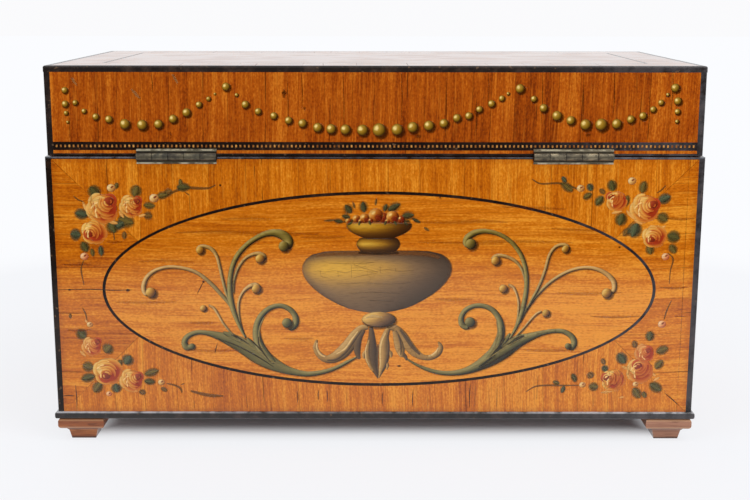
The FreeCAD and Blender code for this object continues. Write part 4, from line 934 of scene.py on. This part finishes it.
# Roses are (u, v, radius, heart's u, heart's v, blush) and buds (u, v, radius, pink). Petals and leaves
# are (u, v, half length, half width, angle).
sprays = (
    dict(roses=((-131.2, 118.9, 8, -128.5, 121.8, .35), (-117.4, 119.8, 5.7, -115.2, 121.8, .3),
             (-135.9, 107.5, 6.3, -138.3, 106, .15)),
         buds=((-127, 128.3, 2.2, 0), (-106.6, 123.3, 2.4, 0), (-141.4, 94.8, 2.1, 1)),
         petals=((-126.6, 111.4, 2.6, 1, -.2), (-122.6, 115.4, 2.2, .9, -1.0), (-112.6, 114.8, 2, .8, .3),
             (-139.8, 119, 3.2, 1, 2.0)),
         leaves=((-135.2, 126.6, 3.2, 2.3, 2.2), (-115.2, 126.8, 3, 2.1, 1.2),
             (-141.8, 115.7, 3.4, 2, 3.0), (-124.4, 129.4, 1.6, .9, 1.2), (-127, 109.4, 3.2, 2.4, -1.3),
             (-120.5, 112.2, 4, 2.4, -.3), (-145.2, 105.6, 2.6, 2.2, 3.0), (-109, 119.7, 2.8, 1.3, -.1),
             (-141, 99.6, 2.8, 1.7, 2.0), (-137.4, 96.8, 2, .9, -1.4), (-133.2, 97.5, 2.6, 1.1, -1.5),
             (-102.6, 124.6, 2.8, 1.4, .2), (-92.4, 128.6, 3.2, 1.6, 0), (-93.6, 131, 1.6, .8, 1.7),
             (-123.6, 110.2, 2.4, 1.6, .6)),
         faint=((-109.8, 114.8, 2.2, 1.5, -.2), (-99.7, 126, 2.2, 1.5, .6), (-121.6, 105.2, 2, 1, -1.6)),
         stems=(((-104, 123.8, .5), (-99, 125.6, .7), (-92, 128.2, .9), (-84.3, 128, .8), (-80, 128.2, .6),
                 (-76.6, 129.8, .3)),
             ((-145.6, 124.6, .3), (-143, 122.6, .45), (-140, 121.3, .3)),
             ((-141.8, 93, .3), (-143.3, 88.4, .5), (-142.2, 80, .25)),
             ((-126.8, 107, .3), (-126.4, 102.6, .5)), ((-92, 126.4, .2), (-89.4, 124.6, .45)))),
    dict(roses=((130, 118.2, 7.3, 133.2, 119.5, .35), (116, 121.8, 5.2, 112.8, 123.2, .3),
             (134.7, 104.5, 5.9, 133.4, 102.6, .25)),
         buds=((122.7, 131, 2.1, 0), (98.2, 127.5, 2, 0), (140.5, 93.9, 2, 1)),
         petals=((122.8, 114.4, 3.4, 1, -.8), (116, 115.8, 2.8, .9, .2), (126.6, 111, 2.6, .9, -.5),
             (138.2, 108, 2.2, .8, .6)),
         leaves=((113.2, 128.8, 2.8, 1.8, 1.8), (128.2, 128, 3, 1.6, 1.4), (138.7, 122.3, 3.2, 1.9, .4),
             (120.6, 121.4, 2.8, 1.1, 1.4), (118.2, 112.3, 3.2, 2.2, -1.8), (138.3, 113, 2.8, 2, -.6),
             (125, 107, 3.8, 2.6, -1.9), (132.8, 97.4, 2.6, 1.6, -1.4), (143.9, 103.7, 3.2, 2.3, -.3),
             (143.9, 97.7, 2.6, 1.5, -1.0), (102.7, 128, 2, 1.3, 2.0), (101.6, 123.7, 2.4, 1.3, -2.6),
             (107.4, 121.4, 2.8, 1.6, -2.2), (91.6, 128.2, 3.6, 1.5, 2.5), (90.1, 131.8, 1.8, .9, 2.2)),
         faint=((121, 106, 2.4, 1.4, -2.2), (108.6, 126, 1.8, 1, 2.4)),
         stems=(((97, 127, .4), (94, 128.2, .6), (87.4, 130, .6), (79, 129.8, .5), (74.4, 132.2, .25)),
             ((134.6, 125, .3), (137, 126.6, .45), (139.2, 129.2, .25)),
             ((141.2, 96, .3), (144.2, 92.8, .5), (143.2, 86.8, .35), (143, 80, .2)))),
    dict(roses=((-132.4, 37.5, 7.4, -133.6, 34.4, .2), (-120.5, 32.4, 6, -117.9, 33.8, .35),
             (-139.6, 49.8, 5, -137.4, 51.8, .6)),
         buds=((-140.3, 60.6, 1.6, 0), (-106.2, 30.9, 1.8, 0), (-132.4, 25, 1.5, 1)),
         petals=((-144.4, 45.8, 2.2, .8, -.8), (-121, 26.6, 3.2, .8, -.1), (-125.8, 29.4, 2, .8, -1.0),
             (-142, 62.4, 1.2, .6, 2.0)),
         leaves=((-144.6, 55.7, 2.8, 2, 2.3), (-131.9, 48.2, 2.6, 2.2, .9), (-122.4, 42.5, 2.8, 2.2, 1.0),
             (-142.2, 39.1, 2.8, 2, 2.9), (-142.4, 33.4, 3.6, 1.7, 3.4), (-137.9, 28.4, 3.2, 1.9, -2.2),
             (-128.6, 28, 2.4, 2, -1.4), (-110.9, 36, 3.8, 1.5, .3), (-112, 31.3, 2.8, 1.3, -.1),
             (-126.4, 41, 1.8, 1.2, 1.2)),
         faint=((-115.8, 25.8, 1.8, 1.2, -.4), (-105, 27.2, 1.8, .9, -.5), (-149.7, 65, 1.4, .6, 1.6)),
         stems=(((-104, 30.4, .3), (-99.5, 29.3, .6), (-96.8, 27.6, .7), (-96.2, 25, .35)),
             ((-97, 29.6, .3), (-94.4, 30.4, .4)),
             ((-92.2, 26.5, .6), (-85.3, 24.6, 1), (-79.5, 23.8, .9), (-75.3, 23.8, .3)),
             ((-141.6, 62.4, .3), (-142.2, 66, .5), (-143.7, 69.4, .25)))),
    dict(roses=((131, 36.9, 6.8, 129.6, 38.6, .4), (118, 32.1, 6, 114.4, 32.6, .15),
             (132.9, 45.6, 5, 134, 46.6, .95)),
         buds=((140.4, 60, 2.1, 1), (102.5, 29, 1.7, 0), (128.8, 29.3, 1.5, 0)),
         petals=((139.2, 31.9, 1.8, .8, .6), (123.6, 37.6, 2.6, .9, -.4), (114.6, 25.2, 3, .8, .1),
             (122.3, 22.4, 1.4, .6, .2), (137.6, 34.2, 1.6, .7, -.6)),
         leaves=((134.8, 54, 2.6, 1.7, 1.5), (141.2, 46.8, 3.2, 1.7, .4), (121.4, 42.6, 3.3, 2, 2.2),
             (140, 39.4, 2.8, 1.6, .9), (138.8, 27.7, 3.6, 1.9, -.6), (129.6, 24.7, 3.2, 1.7, -1.0),
             (113.3, 37.4, 1.8, 1.3, 2.2), (108, 28, 2.4, 1.7, 3.0), (98.2, 32.7, 2.4, 1.1, 2.0),
             (89.4, 30.2, 1.8, .9, 2.8), (92.9, 26.6, 2, .9, -1.9), (133.4, 23.8, 1.8, 1, -1.2)),
         faint=((127.5, 49.8, 2, 1.2, 1.8), (106.3, 34, 1.8, 1.5, 2.2), (112.4, 41, 1.8, 1, 2.0)),
         stems=(((101, 28.8, .3), (90.8, 28.7, .6), (85.8, 28.8, .6), (79.2, 28.2, .5), (74.2, 25.3, .25)),
             ((141.2, 62, .3), (142.4, 66.8, .5), (144.6, 72.3, .25)))))


def paint_roses(brush, spray):
    """One corner's spray, from the stems up to the buds."""
    for path in spray["stems"]:
        brush.stroke(path, tube(stem), 0.8, 0.85, 0.6)
    for shape in spray["faint"]:
        leaf(brush, *shape, brown_leaf, 0.6)
    for k, shape in enumerate(spray["leaves"]):
        leaf(brush, *shape, (green_leaf, moss_leaf, blue_leaf, moss_leaf)[k % 4], 0.65)
    for shape in spray["petals"]:
        leaf(brush, *shape, fallen)
    for shape in spray["roses"]:
        rose(brush, *shape)
    for shape in spray["buds"]:
        bud(brush, *shape)


for side in long_sides:
    for corner, spray in zip(("top_left", "top_right", "bottom_left", "bottom_right"), sprays):
        brush = Brush(case_faces[side])
        paint_roses(brush, spray)
        brush.piece(f"{side}_roses_{corner}", "case")


# Painted swags: strings of gold beads hung round the lid, each a dab with a light and a shaded side.
# Every bead is one low dome, set on its dot by a node tree.
def node_tree(name, sockets):
    """An empty geometry tree, the keys of its named inputs and their sockets inside it."""
    tree = bpy.data.node_groups.new(name, "GeometryNodeTree")
    tree.interface.new_socket("Geometry", in_out="INPUT", socket_type="NodeSocketGeometry")
    keys = {}
    for label, kind in sockets.items():
        socket = tree.interface.new_socket(label, in_out="INPUT", socket_type="NodeSocket" + kind)
        keys[label] = socket.identifier
    tree.interface.new_socket("Geometry", in_out="OUTPUT", socket_type="NodeSocketGeometry")
    return tree, keys, tree.nodes.new("NodeGroupInput").outputs


def geometry_node(tree, kind, inputs, settings=None):
    """Adds a geometry node, whose inputs are values or sockets, and gives its first output."""
    made = tree.nodes.new(kind)
    for name, value in (settings or {}).items():
        setattr(made, name, value)
    for key, value in inputs.items():
        if isinstance(value, bpy.types.NodeSocket):
            tree.links.new(value, made.inputs[key])
        else:
            made.inputs[key].default_value = value
    return made.outputs[0] if made.outputs else None


def set_out(tree, inputs, material):
    """Ends a tree: sets an instance on every point, makes them all real and gives them a material."""
    placed = geometry_node(tree, "GeometryNodeInstanceOnPoints", inputs)
    real = geometry_node(tree, "GeometryNodeRealizeInstances", {"Geometry": placed})
    done = geometry_node(tree, "GeometryNodeSetMaterial", {"Geometry": real, "Material": material})
    geometry_node(tree, "NodeGroupOutput", {"Geometry": done})


def grown(seeds, tree, keys, values, body):
    """Runs a geometry tree on a seed mesh and leaves its result as a plain piece of a body."""
    maker = bpy.data.objects.new(seeds.name, seeds)
    bpy.context.collection.objects.link(maker)
    growth = maker.modifiers.new("grow", "NODES")
    growth.node_group = tree
    for label, value in values.items():
        growth[keys[label]] = value
    bpy.context.view_layer.update()
    plain = bpy.data.meshes.new_from_object(maker.evaluated_get(bpy.context.evaluated_depsgraph_get()))
    maker.modifiers.clear()
    maker.data = plain
    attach(maker, body)


bead_gold, shade = new_material("bead_gold")
dome = shade.node("Attribute", {"attribute_name": "dome"}, out="Vector")
bright = shade.node("VectorMath", {"operation": "DOT_PRODUCT"}, {0: dome, 1: (-0.4, 0.28, 0.87)},
                    out="Value")
patchy = shade.spot().noise(900.0, 3.0)
gilding = shade.node("ValToRGB", {"stops": [
    (0.1, tint(58, 34, 6)), (0.4, tint(96, 66, 12)), (0.68, tint(132, 98, 24)), (0.88, tint(164, 126, 40)),
    (0.97, tint(236, 208, 130))]}, {"Fac": bright * 0.8 + 0.18 + (patchy - 0.5) * 0.16})
finish(shade, base_color=gilding, roughness=0.4 + patchy * 0.2, coat_weight=0.15, coat_roughness=0.08,
       specular_ior_level=0.0)

bead_tree, bead_keys, entry = node_tree(
    "beads_on_dots", {"Right": "Vector", "Out": "Vector", "Paint": "Material"})
sphere = geometry_node(bead_tree, "GeometryNodeMeshUVSphere", {"Segments": 20, "Rings": 12, "Radius": 1.0})
position = geometry_node(bead_tree, "GeometryNodeInputPosition", {})
kept = geometry_node(bead_tree, "GeometryNodeStoreNamedAttribute",
                     {"Geometry": sphere, "Name": "dome", "Value": position},
                     {"data_type": "FLOAT_VECTOR", "domain": "POINT"})
low = geometry_node(bead_tree, "GeometryNodeTransform", {"Geometry": kept, "Scale": (1.0, 1.0, 0.08)})
facing = geometry_node(bead_tree, "FunctionNodeAxesToRotation",
                       {"Primary Axis": entry["Out"], "Secondary Axis": entry["Right"]},
                       {"primary_axis": "Z", "secondary_axis": "X"})
radii = geometry_node(bead_tree, "GeometryNodeInputNamedAttribute", {"Name": "size"},
                      {"data_type": "FLOAT"})
set_out(bead_tree, {"Points": entry["Geometry"], "Instance": low, "Rotation": facing, "Scale": radii},
        entry["Paint"])

# Beads are (u, v, radius).
swags = (
    (-147.3, 175, 1.5), (-147.4, 168.5, 1.6), (-147.2, 164.2, 1.1), (-146.6, 159.9, .7),
    (-142.6, 169.1, 1.3), (-138.6, 165.1, 1.2), (-133.2, 162.4, 1.6), (-127, 161.2, 1.8),
    (-119.5, 158.9, 2.4), (-111.3, 158.5, 2.4), (-103.5, 158.8, 2.1), (-96.5, 161.3, 2), (-90, 164.3, 2),
    (-84, 168, 1.5), (-79.4, 170.7, 1.1), (-76.3, 173, .6), (-71, 176.4, 1.9), (-66, 172.5, .9),
    (-62, 168, 1.8), (-56, 164.7, 1.6), (-48.6, 162.6, 1.7), (-41.6, 160.4, 1.8), (-35, 159, 2),
    (-27.8, 157, 2.2), (-21.4, 156.3, 2.3), (-14.6, 156, 2.4), (-6.5, 155.7, 2.6), (1.4, 155.8, 3.1),
    (10, 155.9, 2.7), (17.4, 157, 2.5), (25.1, 157.7, 2.4), (32.2, 158.8, 2.1), (38.4, 161.3, 1.9),
    (44, 162.3, 1.8), (49, 165.4, 1.6), (54.7, 168, 1.7), (59.5, 170.5, 1.4), (62.5, 172.7, .8),
    (68, 175.1, 2.1), (74.7, 170.2, 1.5), (79.4, 165.9, 1.9), (85.9, 162.2, 2.3), (92.5, 160, 2.1),
    (99.6, 158, 2.5), (107, 158, 2.8), (114.4, 158.3, 2.3), (121, 160.4, 1.9), (126.7, 162, 1.8),
    (131.4, 165.1, 1.5), (135, 168.3, 1.4), (138, 172, .9), (141.4, 175.2, 2), (142.9, 169, 1.8),
    (143, 164, 1.4), (143, 159.3, 1))
lid_half_wide, lid_half_deep = half_sizes("lid_edge_stringing")
lid_faces = four_faces(lid_half_wide, lid_half_deep)
swag_end = 72
bead_shade = (52, 22, 2), (60, 28, 4)
for side, right, out in (("back", (-1, 0, 0), (0, 1, 0)), ("front", (1, 0, 0), (0, -1, 0)),
                         ("left", (0, -1, 0), (-1, 0, 0)), ("right", (0, 1, 0), (1, 0, 0))):
    dots = [dot for dot in swags if side in long_sides or abs(dot[0]) < swag_end]
    seeds = bpy.data.meshes.new(f"{side}_swags")
    seeds.from_pydata([lid_faces[side](u, v, 0) for u, v, radius in dots], [], [])
    sizes = seeds.attributes.new("size", "FLOAT", "POINT")
    for dot, (u, v, radius) in zip(sizes.data, dots):
        dot.value = radius / 1000
    grown(seeds, bead_tree, bead_keys, {"Right": right, "Out": out, "Paint": bead_gold}, "lid")
    brush = Brush(lid_faces[side])
    for u, v, radius in dots:
        brush.knob(u + 0.3 * radius, v - 0.35 * radius, 1.3 * radius, 1.3 * radius, bead_shade,
                   covers=(.8, .7, .35, 0))
    brush.piece(f"{side}_swag_shadows", "lid")


# Age of the back: shrinkage cracks, a let-in patch at the lower corner, dark figure in the oval and rubbed
# paint. They are drawn as hairlines and thin glazes over the varnish.
def hairlines(brush, lines, colour, half, cover, edge=0.9):
    """Thin lines of one colour that narrow at both ends."""
    for line in lines:
        ends = 0, len(line) - 1
        brush.stroke([(u, v, half * (0.4 if k in ends else 1)) for k, (u, v) in enumerate(line)],
                     tube(colour), 1.2, cover, edge)


soot = (38, 14, 2), (52, 22, 6)
russet = (112, 40, 4), (128, 52, 8)
figure = (
    ((-97, 106.4), (-78, 106.8), (-60, 106.1), (-42, 105.9), (-27, 105.2)),
    ((-37, 104), (-26, 103.8), (-14, 104.2)), ((18, 111.4), (34, 111), (52, 111.6), (64, 111)),
    ((20, 101.4), (45, 101), (70, 101.6), (96, 100.8)), ((60, 118.6), (78, 118), (92, 117.4)),
    ((-116, 92.2), (-101, 92.6), (-88, 91.8)), ((84, 108), (98, 107.2), (112, 106.4)),
    ((-75, 113), (-62, 113.3), (-50, 112.9)), ((-128, 72), (-112, 71.7), (-97, 72.1)),
    ((28, 73), (38, 72.7), (48, 73.1)), ((88, 76), (102, 75.6), (121, 76)),
    ((-94, 47.4), (-80, 47), (-67, 47.3)), ((-46, 53.4), (-36, 53), (-30, 53.3)),
    ((72, 47.2), (84, 46.8), (98, 47.1)), ((-92, 61.4), (-84, 61.2), (-79, 61.5)))
short_figure = (
    ((105, 64), (118, 63.6), (130, 64.2)), ((146, 64), (153, 63.8)),
    ((-153, 91), (-146, 90.7), (-138, 91)), ((-152, 58), (-146, 57.6), (-139, 58.1)),
    ((138, 78.6), (146, 78.2), (153, 78.7)), ((140, 112.6), (147, 112.3), (154, 112.8)),
    ((-131, 102), (-126, 101.8), (-122, 102.1)))
cracks = (
    ((-156.4, 78.2), (-140, 78.4), (-128, 77.9), (-118, 78.1)),
    ((-148.8, 16.2), (-148.6, 23), (-148.9, 30)), ((-156.2, 24), (-152, 24.2), (-149, 23.9)),
    ((143, 25), (147, 21.6), (151, 18)), ((-77.8, 51.4), (-78.8, 48), (-79.4, 45.4)),
    ((-87.5, 75.5), (-85.6, 79), (-84, 82)), ((30, 122.6), (30.8, 123.4), (31.6, 122)),
    ((-38.9, 19.6), (-38.7, 23), (-39, 26.6)), ((-28.4, 21), (-28.6, 24), (-28.3, 27)),
    ((-24.1, 20), (-24, 23.6), (-24.3, 27.2)), ((3.4, 18.6), (3.2, 22), (3.5, 26)),
    ((-58, 133), (-58.2, 139.6)), ((92, 133.6), (91.8, 140.6)), ((18.5, 17.4), (18.3, 22), (18.6, 27.4)),
    ((25.9, 17.6), (26, 23.6)), ((46.8, 17), (46.6, 24), (46.9, 30)), ((49.4, 18), (49.3, 29)),
    ((60.3, 17.2), (60.2, 27.6)), ((80, 21), (80.3, 34)), ((108.2, 17), (108, 22.4)),
    ((-64, 17.4), (-64.2, 24)), ((-90.4, 17), (-90.2, 21.6)))
case_chips = (
    (-149.5, 78.2, .9, .5), (-121, 77.9, 1.2, .8), (-74.7, 129.5, .6, .6), (11.5, 39, 1.1, .5),
    (-84, 82, .7, .7), (118, 98.6, .6, .5))
lid_splits = (
    (-146, 150.6, 168), (-106, 173, 183), (-98, 151, 156), (-42, 153, 182), (-35.2, 165, 183),
    (-15.5, 152, 183), (12, 160, 183), (33, 151, 183), (47.5, 153, 170), (53, 166, 183), (78.5, 158, 183),
    (98, 150.6, 183), (112.5, 162, 183), (129.5, 151, 174), (140, 164, 183))
lid_rubs = (
    ((-144, 181.4), (-142.6, 179), (-141, 177)), ((-116.2, 175.8), (-113.6, 173), (-111.4, 170.4)),
    ((-96.4, 182.8), (-94.8, 180), (-93.4, 177.4)))
lid_chips = (
    (-43.6, 173, .9, 2.4), (-43.4, 173.4, 1.6, .9), (20, 152.5, 1.8, 1.1), (48, 164, 1.6, 2.6),
    (-34, 166, .8, .8), (101, 153, 1.4, 1))
brush = Brush(case_faces["back"])
hairlines(brush, figure, russet, 1.3, 0.26, 0.15)
hairlines(brush, short_figure, russet, 0.8, 0.4, 0.4)
hairlines(brush, cracks, soot, 0.26, 0.85)
hairlines(brush, [((149.8, 20), (149.9, 60), (149.7, 100), (149.8, 140.6))], soot, 0.14, 0.4)
for u, v, wide, high in case_chips:
    brush.knob(u, v, wide, high, soot, around=12, covers=(.8, .7, .4, 0))
brush.piece("back_wear_case", "case")

brush = Brush(lid_faces["back"])
hairlines(brush, [((u, low), (u + 0.3, (low + high) / 2), (u - 0.1, high)) for u, low, high in lid_splits],
          soot, 0.2, 0.6)
hairlines(brush, lid_rubs, ((124, 92, 48), (172, 138, 88)), 0.8, 0.38)
for u, v, wide, high in lid_chips:
    brush.knob(u, v, wide, high, soot, around=12, covers=(.4, .35, .2, 0))
brush.piece("back_wear_lid", "lid")


# Chequered inlay: squares of pale holly let into the dark band round the foot of the lid.
# One row of squares runs along each side, spaced by a node tree.
holly, shade = new_material("holly")
aged = shade.spot().noise(420.0, 3.0)
pale = aged.rise(0.35, 0.7).blend(tint(124, 68, 22), tint(206, 144, 70))
finish(shade, base_color=pale, roughness=0.4 + aged * 0.2, coat_weight=0.8, coat_roughness=0.1,
       specular_ior_level=0.1)
row_tree, row_keys, entry = node_tree("row_of_squares", {
    "Count": "Int", "Start": "Vector", "Step": "Vector", "Square": "Vector", "Wood": "Material"})
row = geometry_node(row_tree, "GeometryNodeMeshLine", {
    "Count": entry["Count"], "Start Location": entry["Start"], "Offset": entry["Step"]})
block = geometry_node(row_tree, "GeometryNodeMeshCube", {"Size": entry["Square"]})
set_out(row_tree, {"Points": row, "Instance": block}, entry["Wood"])

wide, tall, depth, proud = 0.8, 1.2, 0.4, 0.03
row_step, row_height = 2.04, 148.3
long_row, short_row = 153.5, 73.2
for side, along, half, out in (("back", 0, long_row, lid_half_deep),
                               ("front", 0, long_row, -lid_half_deep),
                               ("left", 1, short_row, -lid_half_wide),
                               ("right", 1, short_row, lid_half_wide)):
    count = int(2 * half / row_step)
    sunk = out - math.copysign(depth / 2 - proud, out)
    start, offset, size = [sunk, sunk, row_height], [0, 0, 0], [depth, depth, tall]
    start[along], offset[along], size[along] = -(count - 1) * row_step / 2, row_step, wide
    start, offset, size = [[c / 1000 for c in vector] for vector in (start, offset, size)]
    grown(bpy.data.meshes.new(f"{side}_chequer_squares"), row_tree, row_keys,
          {"Count": count, "Start": start, "Step": offset, "Square": size, "Wood": holly},
          "lid")


# Screw heads: slotted brass screws in the hinge leaves, the lock's selvedge and its strike, filed nearly
# flush. A node tree cuts the slot in one head and sets it on every hole.
screw_brass = aged_metal("screw_brass", tint(112, 92, 56), tint(190, 160, 100), 0.3, 0.3)
screw_tree, screw_keys, entry = node_tree("slotted_heads", {"Radius": "Float", "Metal": "Material"})
disc = geometry_node(screw_tree, "GeometryNodeMeshCylinder",
                     {"Vertices": 24, "Radius": entry["Radius"], "Depth": 0.0003})
bar = geometry_node(screw_tree, "GeometryNodeMeshCube", {"Size": (0.006, 0.0005, 0.0002)})
bar = geometry_node(screw_tree, "GeometryNodeTransform",
                    {"Geometry": bar, "Translation": (0.0, 0.0, 0.00016)})
head = geometry_node(screw_tree, "GeometryNodeMeshBoolean", {0: disc, 1: bar}, {"operation": "DIFFERENCE"})
turned = geometry_node(screw_tree, "FunctionNodeRandomValue",
                       {"Min": (0.0, 0.0, -1.2), "Max": (0.0, 0.0, 1.2), "Seed": 4},
                       {"data_type": "FLOAT_VECTOR"})
set_out(screw_tree, {"Points": entry["Geometry"], "Instance": head, "Rotation": turned}, entry["Metal"])

case_level, lid_level = 143.15, 143.85
screw_out, screw_back = 12.0, 72.6
hinge_holes = [(end * hinge_middle + way * screw_out, screw_back) for end in (-1, 1) for way in (-1, 1)]
lock_holes = [(-25.2, -71.5), (25.2, -71.5)]
for name, body, slot, radius, height, holes in (
        ("hinge_screws_case", "case", "hinge_brass", 0.0019, case_level, hinge_holes),
        ("hinge_screws_lid", "lid", "hinge_brass", 0.0019, lid_level, hinge_holes),
        ("lock_screws", "case", "lock_brass", 0.0016, case_level, lock_holes),
        ("strike_screws", "lid", "lock_brass", 0.0016, lid_level, lock_holes)):
    seeds = bpy.data.meshes.new(name)
    seeds.from_pydata([(x / 1000, y / 1000, height / 1000) for x, y in holes], [], [])
    grown(seeds, screw_tree, screw_keys, {"Radius": radius, "Metal": screw_brass}, body)
